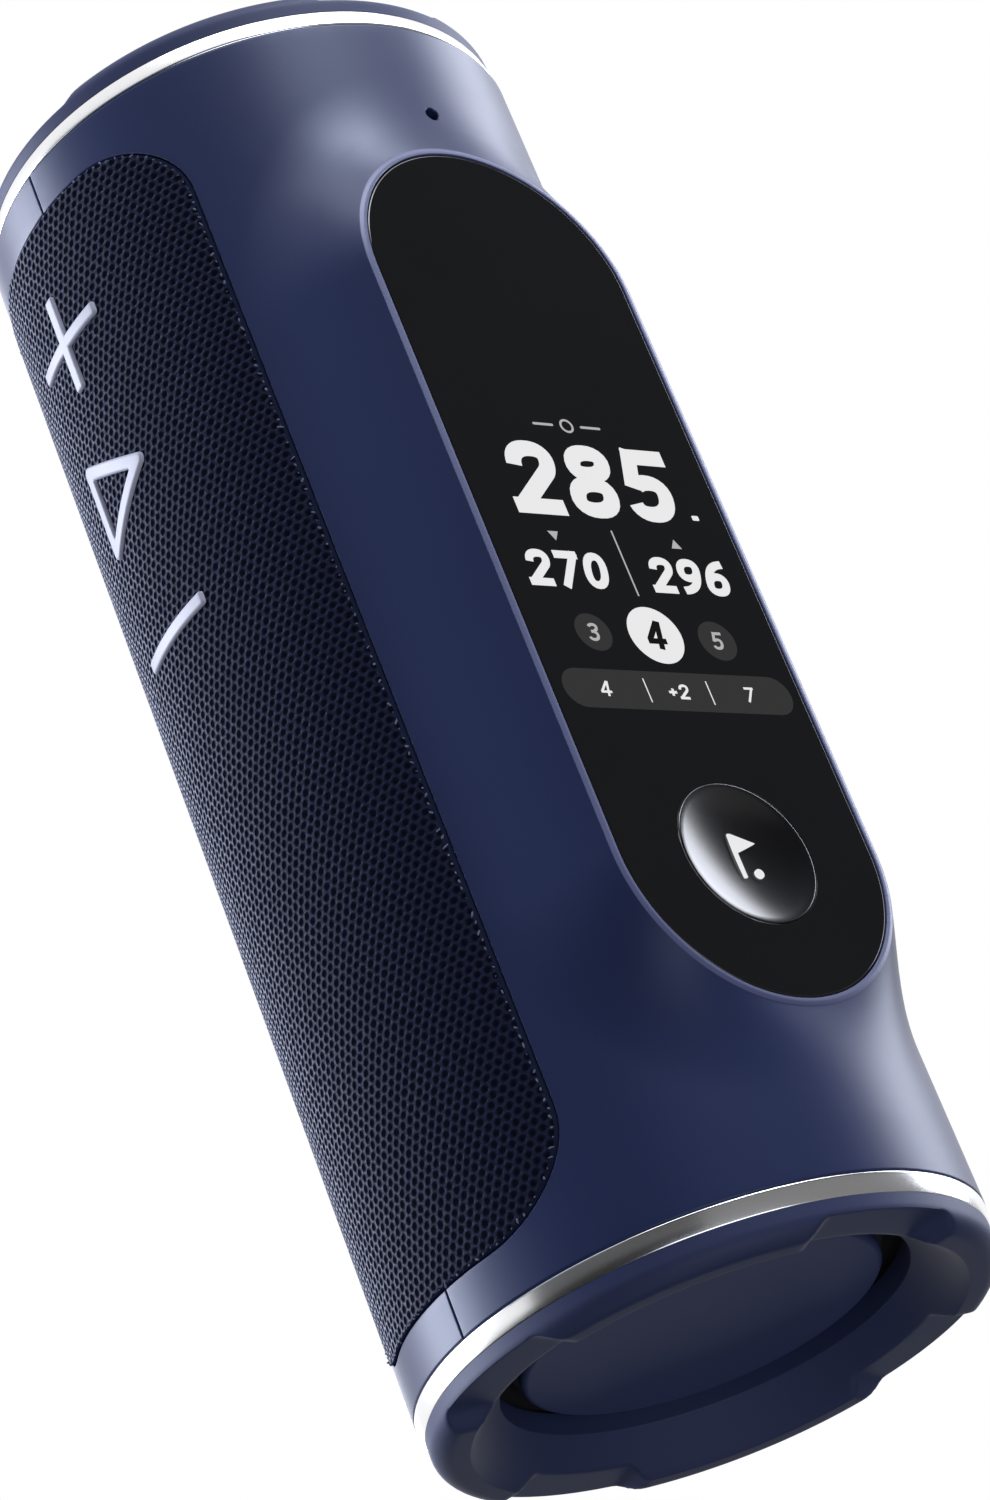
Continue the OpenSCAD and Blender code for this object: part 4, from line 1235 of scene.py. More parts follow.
@dataclass
class CasingHalf:
    """One moulded half of the casing, with half of each side window cut out of its edges."""

    name: str
    node: str
    facing: float
    window_azimuth: float
    edge: float = 0.35
    step: float = 2.0
    bore_step: float = 4.0

    def side_path(self, grow: float, radius: float) -> Track:
        """The window's edge on the right, from the seam round to the seam.

        Args:
            grow: how far the window is made larger.
            radius: the cylinder on which it is wanted.
        Returns:
            Azimuths and heights.
        """
        half_w, half_h = BODY.window_half_width + grow, BODY.window_half_height + grow
        corner = BODY.window_corner + grow
        seam = 90.0 - math.degrees(grow / BODY.radius)
        turns = np.radians(np.linspace(0.0, 90.0, 17))
        away = half_w - corner + corner * np.sin(turns)
        bend = self.window_azimuth - np.degrees(np.arcsin(away / radius))
        rise = corner * (1.0 - np.cos(turns))
        run = np.linspace(seam, bend[0], 10)[:-1]
        straight = np.linspace(-(half_h - corner), half_h - corner, 96)[1:-1]
        azimuth = np.concatenate([run, bend, np.full(len(straight), bend[-1]), bend[::-1], run[::-1]])
        level, bow = np.full(len(run), half_h), half_h - rise
        height = np.concatenate([-level, -half_h + rise, straight, bow[::-1], level])
        return azimuth, BODY.middle + height

    def outline(self, grow: float, radius: float) -> Track:
        """The edge of this half, drawn in by an amount.

        Args:
            grow: how far it is drawn in.
            radius: the cylinder on which it is wanted.
        Returns:
            Azimuths from the middle of this half, and heights.
        """
        azimuth, height = self.side_path(grow, radius)
        seam = azimuth[0]
        low, high = BODY.low + grow, BODY.high - grow
        across = np.linspace(-seam, seam, 97)[:-1]
        lower, upper = np.linspace(low, height[0], 5)[:-1], np.linspace(height[-1], high, 5)[1:]
        turn = np.concatenate([np.full(4, seam), azimuth, np.full(4, seam)])
        rise = np.concatenate([lower, height, upper])
        level = np.ones(len(across))
        azimuths = np.concatenate([across, turn[:-1], -across, -turn[:0:-1]])
        return azimuths, np.concatenate([level * low, rise[:-1], level * high, rise[:0:-1]])

    def openings(self, skin: Skin) -> Openings:
        """Adds the walls of openings, and gives their outer loops, bore loops and extra outer points."""
        return [], [], None

    def outer_face(self, flat: np.ndarray) -> np.ndarray:
        """Points of the outer face for flat points."""
        return roll_up(flat, BODY.radius, self.facing)

    def build(self) -> Skin:
        """The half's closed skin.

        Returns:
            The skin.
        """
        skin = Skin(self.name)
        outer = unroll(*self.outline(self.edge, BODY.radius), BODY.radius)
        rings = [self.outer_face(outer)]
        for inset, drop in rounding(self.edge)[1:]:
            azimuth, height = self.outline(inset, BODY.radius - drop)
            rings.append(around(azimuth + self.facing, BODY.radius - drop, height))
        azimuth, height = self.outline(0.0, BODY.bore)
        rings.append(around(azimuth + self.facing, BODY.bore, height))
        skin.bands(rings)
        outer_holes, bore_holes, extra = self.openings(skin)
        skin.fill([outer, *outer_holes], self.step, self.outer_face, extra)
        inner = unroll(azimuth, height, BODY.bore)
        skin.fill([inner, *bore_holes], self.bore_step, lambda flat: roll_up(flat, BODY.bore, self.facing))
        return skin

    def dress(self) -> Piece:
        """Makes the half's object and places it on the casing."""
        return self.build().placed(Slot.CASING, CASING_BODY, self.node, 40.0)


@dataclass
class FrontHalf(CasingHalf):
    """The front half, which rises smoothly to the rim round the display glass."""

    centre: float = BODY.display_centre
    half_straight: float = BODY.display_half
    face: float = 40.3
    flank_top: float = 40.02
    rim: float = 23.2
    bevel: float = 22.5
    pocket: float = 22.1
    opening: float = 21.0
    ledge: float = 38.3
    foot: float = 37.9
    flank_power: float = 2.4
    mic_height: float = 178.9
    mic_radius: float = 1.05
    mic_edge: float = 0.15
    rim_edge: float = 0.08

    def pill(self, distance: float) -> Loop:
        """A pill at a distance from the line between its two centres, x by z."""
        return pill(distance, self.centre, self.half_straight, 72)

    def depth(self, flat: np.ndarray) -> np.ndarray:
        """How far in front of the axis the outer face is at flat points.

        Args:
            flat: arc length by height.
        Returns:
            The depths.
        """
        x = BODY.radius * np.sin(flat[:, 0] / BODY.radius)
        beyond = np.maximum(np.abs(flat[:, 1] - self.centre) - self.half_straight, 0.0)
        plain = np.sqrt(np.maximum(BODY.radius**2 - x**2, 0.0)) * np.sign(np.cos(flat[:, 0] / BODY.radius))
        past_rim = np.maximum(np.hypot(x, beyond) - self.rim, 0.0)
        to_foot = np.maximum(self.foot - np.hypot(flat[:, 0], beyond), 0.0)
        along = past_rim / np.maximum(past_rim + to_foot, 1e-9)
        return plain + (self.flank_top - plain) * (1.0 - along) ** self.flank_power

    def outer_face(self, flat: np.ndarray) -> np.ndarray:
        """Points of the outer face for flat points."""
        across = BODY.radius * np.sin(flat[:, 0] / BODY.radius)
        return np.stack([across, -self.depth(flat), flat[:, 1]], axis=1)

    def on_bore(self, points: np.ndarray) -> np.ndarray:
        """Points of the bore for points seen from the front."""
        return np.stack([points[:, 0], -np.sqrt(BODY.bore**2 - points[:, 0] ** 2), points[:, 1]], axis=1)

    def openings(self, skin: Skin) -> Openings:
        """Adds the display's pocket, rim and flank, and the microphone hole.

        Args:
            skin: the piece.
        Returns:
            The loops cut in the outer face and in the bore, and extra outer points.
        """
        start = wrapped(self.pill(self.rim), BODY.radius)
        base = self.pill(0.0)
        way = self.pill(1.0) - base
        end = base + way * self.foot
        near = [start + (end - start) * share for share in (0.0, 0.008, 0.02, 0.04, 0.07, 0.11)]
        shares = (0.16, 0.21, 0.27, 0.33, 0.40, 0.47, 0.55, 0.64, 0.74, 0.85, 0.93, 1.0)
        steps = (
            (self.opening, self.ledge), (self.pocket, self.ledge), (self.pocket, self.face - self.rim_edge),
            (self.pocket + self.rim_edge, self.face), (self.bevel, self.face),
            (self.bevel + 0.2, self.face - 0.03), (self.rim - self.rim_edge, self.flank_top + 0.05),
        )
        rings = [self.on_bore(self.pill(self.opening))]
        rings += [facing_front(self.pill(distance), depth) for distance, depth in steps]
        rings += [self.outer_face(ring) for ring in near]
        skin.bands(rings)
        lip = circle(self.mic_radius + self.mic_edge) + (0.0, self.mic_height)
        hole = circle(self.mic_radius) + (0.0, self.mic_height)
        outer = wrapped(lip, BODY.radius)
        top = self.outer_face(outer)
        inner = wrapped(hole, BODY.radius)
        wall = self.outer_face(inner) + (0.0, self.mic_edge, 0.0)
        skin.bands([top, wall, self.on_bore(hole)])
        free = np.concatenate([start + (end - start) * share for share in shares])
        free = free[clear_of(free, outer, 0.5)]
        bore_loops = [wrapped(self.pill(self.opening), BODY.bore), wrapped(hole, BODY.bore)]
        return [near[-1], outer], bore_loops, free

    def dress(self) -> Piece:
        """Makes the half's object, with its rim marked for the finish's painted highlight.

        Returns:
            The half.
        """
        piece = super().dress()
        places = places_of(piece.data) / MM
        beyond = np.maximum(np.abs(places[:, 2] - self.centre) - self.half_straight, 0.0)
        distance = np.hypot(places[:, 0], beyond)
        # Points on the rim take the painted highlight colour.
        rim_highlight_mask = (distance < self.rim - 0.04) & (-places[:, 1] > self.ledge + 0.5)
        mark = piece.data.attributes.new("rim", "FLOAT", "POINT")
        mark.data.foreach_set("value", rim_highlight_mask.astype(np.float32))
        return piece


@dataclass
class RearHalf(CasingHalf):
    """The rear half, with the recess and socket opening of the charging port."""

    port: float = BODY.port
    recess_floor: float = 38.6
    recess: Triple = BODY.recess
    recess_edge: float = 0.25
    socket: Triple = (5.07, 2.23, 1.5)

    def opening_ring(self, sizes: Triple, grow: float, radius: float) -> tuple[np.ndarray, Loop]:
        """A rounded opening on a cylinder.

        Args:
            sizes: half width, half height and corner.
            grow: how much larger it is made.
            radius: the cylinder.
        Returns:
            Its points in space, and the flat loop.
        """
        points = rounded_rectangle(*(size + grow for size in sizes), steps=(12, 8, 6)) + (0.0, self.port)
        flat = wrapped(points, radius)
        return roll_up(flat, radius, self.facing), flat

    def openings(self, skin: Skin) -> Openings:
        """Adds the port's recess and socket opening.

        Args:
            skin: the piece.
        Returns:
            The loops cut in the outer face and in the bore, and extra outer points.
        """
        levels = [(self.recess, inset, BODY.radius - drop) for inset, drop in rounding(self.recess_edge, 3)]
        levels += [(self.recess, 0.0, self.recess_floor), (self.socket, 0.0, self.recess_floor)]
        made = [self.opening_ring(*level) for level in [*levels, (self.socket, 0.0, BODY.bore)]]
        skin.bands([ring for ring, _ in made])
        return [made[0][1]], [made[-1][1]], None

    def dress(self) -> Piece:
        """Makes the half's object, whose rim mark for the painted rim highlight is nought everywhere.

        Returns:
            The half.
        """
        piece = super().dress()
        piece.data.attributes.new("rim", "FLOAT", "POINT")
        return piece


# ----------------------------------------------------------------------------- cloth and keys


def set_flat_uv(mesh: Mesh, azimuth: float) -> None:
    """Gives a mesh on the casing a UV map of its arc length and height, in metres.

    Args:
        mesh: the mesh.
        azimuth: where the arc length is nought.
    """
    layer = mesh.uv_layers.new(name="flat")
    places = places_of(mesh)
    angle = np.degrees(np.arctan2(places[:, 0], -places[:, 1])) - azimuth
    angle = np.radians((angle + 180.0) % 360.0 - 180.0)
    flat = np.stack([angle * BODY.radius * MM, places[:, 2]], axis=1)
    corners = np.empty(len(mesh.loops), int)
    mesh.loops.foreach_get("vertex_index", corners)
    layer.data.foreach_set("uv", flat[corners].astype(np.float32).ravel())


@dataclass
class SideCloth:
    """The stretched acoustic cloth of one side window."""

    name: str
    node: str
    grille: str
    side: int
    gap: float = 0.12
    top: float = 40.2
    under: float = 39.36
    edge: float = 0.45
    step: float = 1.6
    thread_inset: float = 0.3
    thread_sink: float = 0.16
    bound_cosine: float = 0.93

    def loop(self, inset: float, radius: float) -> Loop:
        """The cloth's flat outline on a cylinder, drawn in by an amount.

        Args:
            inset: how far it is drawn in.
            radius: the cylinder's radius.
        Returns:
            The outline.
        """
        window = (BODY.window_half_width, BODY.window_half_height, BODY.window_corner)
        points = rounded_rectangle(*(size - (self.gap + inset) for size in window))
        return wrapped(points, radius, BODY.middle)

    def outlines(self, inset: float, radius: float) -> list[Loop]:
        """The cloth's only outline, as a list."""
        return [self.loop(inset, radius)]

    def azimuth(self) -> float:
        """Azimuth of the window's middle."""
        return self.side * BODY.side_azimuth

    def dress(self) -> Piece:
        """Returns:
            The cloth.
        """
        skin = Skin(self.name)
        levels = rounded_levels(self.outlines, self.top, self.under, self.edge)
        skin.plate(levels, (self.step, self.step * 2), self.azimuth())
        piece = skin.make(worn(Slot.CLOTH), sharp=60.0)
        set_flat_uv(piece.data, self.azimuth())
        self.bind_edge(piece.data, worn(INSIDE_CLOTH))
        settle(piece, CASING_BODY, Slot.CLOTH, self.node)
        flat = self.loop(0.0, self.top)
        hem = self.threads()
        return piece

    def bind_edge(self, mesh: Mesh, material: Material) -> None:
        """Gives the turned-down edge, where the weave is pressed flat, its own finish.

        Args:
            mesh: the cloth's mesh.
            material: what the edge wears.
        """
        mesh.materials.append(material)
        for face in mesh.polygons:
            out = Vector((face.center.x, face.center.y, 0.0)).normalized()
            if abs(face.normal.dot(out)) < self.bound_cosine:
                face.material_index = 1

    def threads(self) -> Piece:
        """The cut thread ends that show along the cloth's edge, pale as a painted highlight.

        Returns:
            The threads, as one piece.
        """
        flat = self.loop(self.thread_inset, self.top)
        path = bpy.data.curves.new(self.name + "_path", "CURVE")
        path.dimensions = "3D"
        spline = path.splines.new("POLY")
        points = roll_up(flat, self.top - self.thread_sink, self.azimuth()) * MM
        spline.points.add(len(points) - 1)
        weighted = np.concatenate([points, np.ones((len(points), 1))], axis=1)
        spline.points.foreach_set("co", weighted.ravel())
        spline.use_cyclic_u = True
        sizes = {
            "Spacing": 1.3 * MM, "Thickness": 0.34 * MM, "Stretch": 2.8, "Lean": 1.1, "Seed": 11 + self.side,
        }
        # The threads wear a pale colour, a painted highlight.
        tree = thread_tree(worn(EDGE_THREAD_HIGHLIGHT))
        piece = grown(self.name + "_edge_threads", tree, path, sizes, 180.0)
        return settle(piece, CASING_BODY, Slot.CLOTH)


class Sign(Enum):
    """The signs of the three keys."""

    PLUS = "plus"
    PLAY = "play"
    MINUS = "minus"


@dataclass
class Key:
    """A key whose sign stands out of the cloth."""

    sign: Sign
    height: float
    stroke: float = 2.1
    corner: float = 0.5
    hole_corner: float = 0.25
    tip: float = 0.3
    reach: float = 8.8
    rise: float = 8.0
    play_width: float = 14.8
    play_height: float = 15.6
    top: float = 40.78
    foot: float = 38.85
    edge: float = 0.42
    pad_radius: float = 10.4
    pad_top: float = 39.25
    pad_foot: float = 38.45
    stem_radius: float = 2.1
    stem_end: float = 33.6

    def arm(self, length: float, grow: float) -> list[Pair]:
        """The blunt end of an arm that points along the first axis, grown by an amount.

        Args:
            length: how far it reaches.
            grow: how far it is grown.
        Returns:
            The points.
        """
        r, end = self.stroke / 2 + grow, length + grow
        corner = max(self.corner + grow, 0.04)
        lower = arc((end - corner, -r + corner), corner, -90.0, 0.0, 5)
        return lower + arc((end - corner, r - corner), corner, 0.0, 90.0, 5)

    def bar(self, grow: float) -> Loop:
        """A bar's outline, grown by an amount.

        Args:
            grow: how far it is grown.
        Returns:
            The outline.
        """
        r = self.stroke / 2 + grow
        right = self.arm(self.reach, grow)
        left = [(-x, -y) for x, y in right]
        ends = self.reach - self.corner - self.tip
        middle = [(x, r) for x in np.linspace(ends, -ends, 14)]
        back = [(-x, -y) for x, y in middle]
        return np.array([*right, *middle, *left, *back])

    def cross(self, grow: float) -> Loop:
        """A plus sign's outline, grown by an amount.

        Args:
            grow: how far it is grown.
        Returns:
            The outline.
        """
        r = self.stroke / 2 + grow
        points: list[Pair] = []
        for quarter, length in enumerate((self.reach, self.rise, self.reach, self.rise)):
            turn = math.radians(90.0 * quarter)
            c, s = round(math.cos(turn)), round(math.sin(turn))
            ends = length - self.corner - self.tip
            away = [(x, -r) for x in np.linspace(r, ends, 6)]
            back = [(x, r) for x in np.linspace(ends, r, 6)[:-1]]
            points += [(x * c - y * s, x * s + y * c) for x, y in away + self.arm(length, grow) + back]
        return np.array(points)

    def triangle(self, grow: float, hole: bool) -> Loop:
        """The outer or inner outline of the play sign, grown by an amount.

        Args:
            grow: how far it is grown.
            hole: True for the inner outline.
        Returns:
            The outline.
        """
        half_w, half_h = self.play_width / 2 - self.stroke / 2, self.play_height / 2 - self.stroke / 2
        lean = 90.0 - math.degrees(math.atan2(half_h, 2 * half_w))
        reach = self.stroke / 2 + grow
        corners = (
            ((half_w, 0.0), -lean, lean), ((-half_w, half_h), lean, 180.0),
            ((-half_w, -half_h), 180.0, 360.0 - lean),
        )
        if not hole:
            points = [p for centre, first, last in corners for p in arc(centre, reach, first, last, 10)]
        else:
            small = self.hole_corner
            points = []
            for centre, first, last in corners:
                half = math.radians((last - first) / 2)
                middle = math.radians((first + last) / 2)
                back = (reach + small) / math.cos(half)
                spot = (centre[0] - back * math.cos(middle), centre[1] - back * math.sin(middle))
                points += arc(spot, small, first, last, 10)
        ring = np.array(points)
        dense = []
        for a, b in zip(ring, np.roll(ring, -1, axis=0)):
            count = 10 if np.hypot(*(b - a)) > 3.0 else 1
            dense += [a + (b - a) * k / count for k in range(count)]
        return np.array(dense)

    def outlines(self, grow: float) -> list[Loop]:
        """The sign's outer outline and its holes, grown by an amount.

        Args:
            grow: how far it is grown.
        Returns:
            The outlines, the outer one first.
        """
        match self.sign:
            case Sign.PLUS:
                return [self.cross(grow)]
            case Sign.MINUS:
                return [self.bar(grow)]
            case Sign.PLAY:
                return [self.triangle(grow, False), self.triangle(grow, True)]

    def wrapped_outlines(self, inset: float, radius: float) -> list[Loop]:
        """The sign's outlines, drawn in by an amount, as flat loops on a cylinder."""
        return [wrapped(loop, radius, self.height) for loop in self.outlines(-inset)]

    def build(self) -> Skin:
        """The key's sign, its pad under the cloth and its stem.

        Returns:
            The skin.
        """
        azimuth = -BODY.side_azimuth
        skin = Skin(f"{self.sign.value}_key_sign")
        levels = rounded_levels(self.wrapped_outlines, self.top, self.foot, self.edge, 5)
        skin.plate(levels, (0.8, 1.2), azimuth)
        pad = circle(self.pad_radius)
        levels = [([wrapped(pad, radius, self.height)], radius) for radius in (self.pad_top, self.pad_foot)]
        skin.plate(levels, (2.5, 2.5), azimuth)
        self.add_stem(skin, azimuth)
        return skin

    def add_stem(self, skin: Skin, azimuth: float) -> None:
        """Adds the stem that reaches the switch.

        Args:
            skin: the key's skin.
            azimuth: the key's direction.
        """
        out, across = around(np.array([azimuth, azimuth + 90.0]), 1.0, 0.0)
        up, near = np.array((0.0, 0.0, 1.0)), self.pad_foot + OVERLAP
        rings, pole, wall = [], 0.01, self.stem_radius
        for radius, reach in ((pole, self.stem_end), (wall, self.stem_end), (wall, near), (pole, near)):
            disc = circle(radius, 24)
            rings.append(disc[:, :1] * across + (disc[:, 1:] + self.height) * up + out * reach)
        skin.bands([*rings, rings[0]])

    def dress(self) -> Piece:
        """Makes the key and places it on its body."""
        node = f"{self.sign.value}_key"
        return self.build().placed(Slot.KEY, node, node, 50.0)


# ------------------------------------------------------------------------------- end assemblies


class End(Enum):
    """The two ends of the speaker."""

    BOTTOM = "bottom"
    TOP = "top"


def at_end(end: End, profile: Iterable[Pair]) -> list[Pair]:
    """An outline drawn for the bottom end, turned over for the top one."""
    return [(r, z if end is End.BOTTOM else BODY.total - z) for r, z in profile]


@dataclass
class EndAssembly:
    """The trim ring, rubber cap, radiator plate and surround of one end."""

    end: End
    ring_low: float = 4.2
    ring_high: float = BODY.low
    ring_foot: float = 39.4
    ring_inner: float = 37.3
    ring_path: float = 38.0
    ring_round: float = 0.28
    skirt: float = 39.4
    lip_outer: float = 36.8
    lip_inner: float = 34.4
    skirt_round: float = 2.6
    plug: float = 37.2
    seat: float = 9.0
    funnel: float = 28.6
    funnel_height: float = 5.8
    notch_depth: float = 2.0
    notch_half: float = 17.0
    notch_slope: float = 2.6
    plate: float = 25.2
    plate_face: float = 6.6
    plate_round: float = 0.9
    roll: float = 2.9
    roll_wall: float = 0.8
    roll_tuck: float = 2.0
    roll_rim: float = 32.8
    sectors: int = 12

    def settled(self, piece: Piece, kind: str, slot: Slot) -> Piece:
        """Puts a piece of this end on the casing, in place of the end's node of that kind."""
        return settle(piece, CASING_BODY, slot, f"{self.end.value}_{kind}")

    def ring(self) -> Piece:
        """The polished trim ring, slightly conical with rounded edges.

        Returns:
            The ring.
        """
        middle = (self.ring_low + self.ring_high) / 2
        half = (self.ring_high - self.ring_low) / 2
        sizes = {
            "Path Radius": self.ring_path * MM, "Inner Offset": (self.ring_inner - self.ring_path) * MM,
            "Foot Offset": (self.ring_foot - self.ring_path) * MM,
            "Wide Offset": (BODY.radius - self.ring_path) * MM,
            "Half Height": half * MM, "Fillet": self.ring_round * MM, "Sides": 256,
        }
        name = f"{self.end.value}_trim_ring"
        seed = bpy.data.meshes.new(name + "_seed")
        piece = grown(name, ring_tree(worn(Slot.RING)), seed, sizes, 35.0)
        turn = -1.0 if self.end is End.BOTTOM else 1.0
        height = middle if self.end is End.BOTTOM else BODY.total - middle
        work = bmesh.new()
        work.from_mesh(piece.data)
        for vertex in work.verts:
            vertex.co = (vertex.co.x, vertex.co.y, vertex.co.z * turn + height * MM)
        finish_mesh(work, piece.data, 1e-6)
        return self.settled(piece, "ring", Slot.RING)

    def notched(self, azimuths: np.ndarray, radius: float, height: float) -> Track:
        """Lifts the lip to the notch floors by azimuth.

        Args:
            azimuths: degrees.
            radius: a corner's radius.
            height: its height, in the row frame.
        Returns:
            Radii and heights.
        """
        depth = height if self.end is End.BOTTOM else BODY.total - height
        if radius < self.funnel + 0.05 or depth > self.skirt_round + 0.5:
            return np.full(len(azimuths), radius), np.full(len(azimuths), height)
        off = np.abs((azimuths + 45.0) % 90.0 - 45.0)
        share = np.clip((self.notch_half + self.notch_slope - off) / (2 * self.notch_slope), 0.0, 1.0)
        floor = self.notch_depth * share * share * (3 - 2 * share)
        soft = 0.18
        lifted = 0.5 * (depth + floor + np.sqrt((depth - floor) ** 2 + soft**2 * np.minimum(share * 4, 1.0)))
        lifted = np.maximum(lifted, depth)
        return np.full(len(azimuths), radius), lifted if self.end is End.BOTTOM else BODY.total - lifted

    def cap(self) -> Piece:
        """The rubber cap: a rounded skirt, a lip with four notches and a funnel.

        Returns:
            The cap.
        """
        soft = 0.35
        slope = math.degrees(math.atan2(self.funnel_height, self.lip_inner - self.funnel))
        step = self.ring_low + 0.02
        outline = [(self.plug, self.seat), (self.plug, step)]
        outline += [(self.skirt, z) for z in (step, 3.6, 3.0)]
        outline += arc((self.lip_outer, self.skirt_round), self.skirt_round, 0.0, -90.0, 12)
        outline += [(r, 0.0) for r in np.linspace(self.lip_outer, self.lip_inner + soft, 5)[1:-1]]
        outline += arc((self.lip_inner + soft, soft), soft, -90.0, -90.0 - slope, 4)
        down = np.linspace(0.08, 0.94, 16)
        fall = self.lip_inner - self.funnel
        outline += [(self.lip_inner - fall * d, self.funnel_height * d) for d in down]
        outline += arc((self.funnel + soft, self.funnel_height + 0.1), soft, -90.0 - slope, -180.0, 4)
        outline += [(self.funnel, self.seat)]
        piece = lathe(f"{self.end.value}_rubber_cap", at_end(self.end, outline), worn(Slot.CAP), 360,
                      shape=self.notched, sharp=50.0)
        return self.settled(piece, "cap", Slot.CAP)

    def radiator(self) -> Piece:
        """The bare radiator plate with its rounded edge.

        Returns:
            The plate.
        """
        soft = self.plate_round
        outline = [(0.0, self.plate_face), (8.0, self.plate_face), (16.0, self.plate_face)]
        outline += arc((self.plate - soft, self.plate_face + soft), soft, -90.0, 0.0, 6)
        outline += [(self.plate, self.seat), (0.0, self.seat)]
        profile = at_end(self.end, outline)
        piece = lathe(f"{self.end.value}_radiator_plate", profile, worn(Slot.PLATE))
        node = f"{self.end.value}_radiator"
        return settle(piece, node, Slot.PLATE, node)

    def surround(self) -> list[Piece]:
        """The half roll of rubber that carries the plate, in sectors.

        Returns:
            The sectors, which meet without a seam.
        """
        middle = self.plate + self.roll
        outer = self.plate + 2 * self.roll - self.roll_wall
        outline = [(self.plate - self.roll_tuck, self.seat), (self.plate, self.seat)]
        outline += arc((middle, self.seat), self.roll - self.roll_wall, 180.0, 0.0, 16)[1:-1]
        lift = self.seat + self.roll_wall
        outline += [(outer, self.seat), (self.roll_rim, self.seat), (self.roll_rim, lift)]
        outline += arc((middle, self.seat), self.roll, 16.0, 164.0, 16)
        outline += [(self.plate - self.roll_tuck, lift)]
        half = 180.0 / self.sectors
        height = at_end(self.end, [(0.0, self.seat)])[0][1]
        pieces = []
        for number in range(self.sectors):
            facing = (2 * number + 1) * half
            azimuths = np.linspace(facing - half, facing + half, 11)
            rings = [around(azimuths, r, z) for r, z in at_end(self.end, outline)]
            skin = Skin(f"{self.end.value}_rubber_surround_{number + 1:02d}")
            skin.bands([*rings, rings[0]], closed=False)
            for side in (0, -1):
                first = skin.put(np.stack([ring[side] for ring in rings]))
                skin.faces.append(tuple(range(first, first + len(rings))))
            piece = skin.make(worn(Slot.SURROUND))
            reach = np.array([outer * math.cos(math.radians(half)), self.plate])
            fixed, moving = (around(np.full(2, facing), reach, height) * MM).tolist()
            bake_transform(piece)
            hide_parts(f"{self.end.value}_surround")
            pieces.append(piece)
        return pieces

    def dress(self) -> list[Piece]:
        """Makes every piece of this end."""
        return [self.ring(), self.cap(), self.radiator(), *self.surround()]


# ------------------------------------------------------------------------- display and button


def oval(centre: Pair, half_width: float, half_height: float, start: float, end: float,
         count: int = 24) -> np.ndarray:
    """Points of a part of a slightly squared oval, n by 2.

    Args:
        centre: its centre.
        half_width: half its width.
        half_height: half its height.
        start: first angle in degrees.
        end: last angle.
        count: how many steps it has.
    Returns:
        The points.
    """
    turns = np.radians(np.linspace(start, end, count + 1))
    c, s = np.cos(turns), np.sin(turns)
    power = 0.86
    x, y = np.sign(c) * np.abs(c) ** power * half_width, np.sign(s) * np.abs(s) ** power * half_height
    return np.stack([x + centre[0], y + centre[1]], axis=1)


def digit_lines(digit: str, weight: float) -> list[Stroke]:
    """The middle lines of a digit's strokes, on a body 0.6 wide and 1 high.

    Args:
        digit: one digit or a plus sign.
        weight: the width of its strokes.
    Returns:
        Each line's points, and whether it is closed.
    """
    h = weight / 2
    top, middle = 1.0 - h, 0.3
    wide = middle - h

    def line(*points: Pair) -> Stroke:
        """An open line."""
        return np.array(points), False

    def bow(across: float, up: float, reach: float, high: float, start: float, end: float) -> Stroke:
        """A part of an oval, or the whole of one.

        Args:
            across: its centre's place across.
            up: its centre's height.
            reach: half its width.
            high: half its height, with the stroke.
            start: first angle in degrees.
            end: last angle.
        Returns:
            The points, and whether they close.
        """
        whole = end - start == 360.0
        points = oval((across, up), reach, high - h, start, end)
        return (points[:-1] if whole else points), whole

    match digit:
        case "0":
            return [bow(middle, 0.5, wide, 0.5, 0.0, 360.0)]
        case "2":
            hook = bow(middle, 0.70, wide, 0.30, 190.0, -38.0)[0]
            return [line(*hook, (h * 1.1, h)), line((0.02, h), (0.6, h))]
        case "3":
            upper = bow(middle - 0.01, 0.745, wide - 0.015, 0.255, 165.0, -80.0)
            return [upper, bow(middle - 0.01, 0.29, wide, 0.29, 80.0, -165.0),
                    line((0.18, 0.53), (0.34, 0.53))]
        case "4":
            return [line((0.40, 0.98), (0.07, 0.34)), line((0.0, 0.29), (0.64, 0.29)),
                    line((0.43, 0.0), (0.43, 1.0))]
        case "5":
            bowl = bow(middle - 0.01, 0.325, wide, 0.325, 128.0, -160.0)
            return [line((0.07, top), (0.56, top)), line((0.15, 0.99), (0.11, 0.46)), bowl]
        case "6":
            t = np.linspace(0, 1, 14)
            first, second, third = (1 - t) ** 2, 2 * t * (1 - t), t * t
            x = first * 0.49 + second * 0.10 + third * h
            y = first * top + second * (top - 0.02) + third * 0.34
            sweep = np.stack([x, y], axis=1)
            return [bow(middle, 0.325, wide, 0.325, 0.0, 360.0), (sweep, False)]
        case "7":
            return [line((0.02, top), (0.58, top)), line((0.51, 0.96), (0.20, 0.0))]
        case "8":
            return [bow(middle, 0.745, wide - 0.02, 0.255, 0.0, 360.0),
                    bow(middle, 0.285, wide, 0.285, 0.0, 360.0)]
        case "9":
            return [(np.array((0.6, 1.0)) - points, closed) for points, closed in digit_lines("6", weight)]
        case _:
            return [line((0.06, 0.45), (0.54, 0.45)), line((middle, 0.21), (middle, 0.69))]


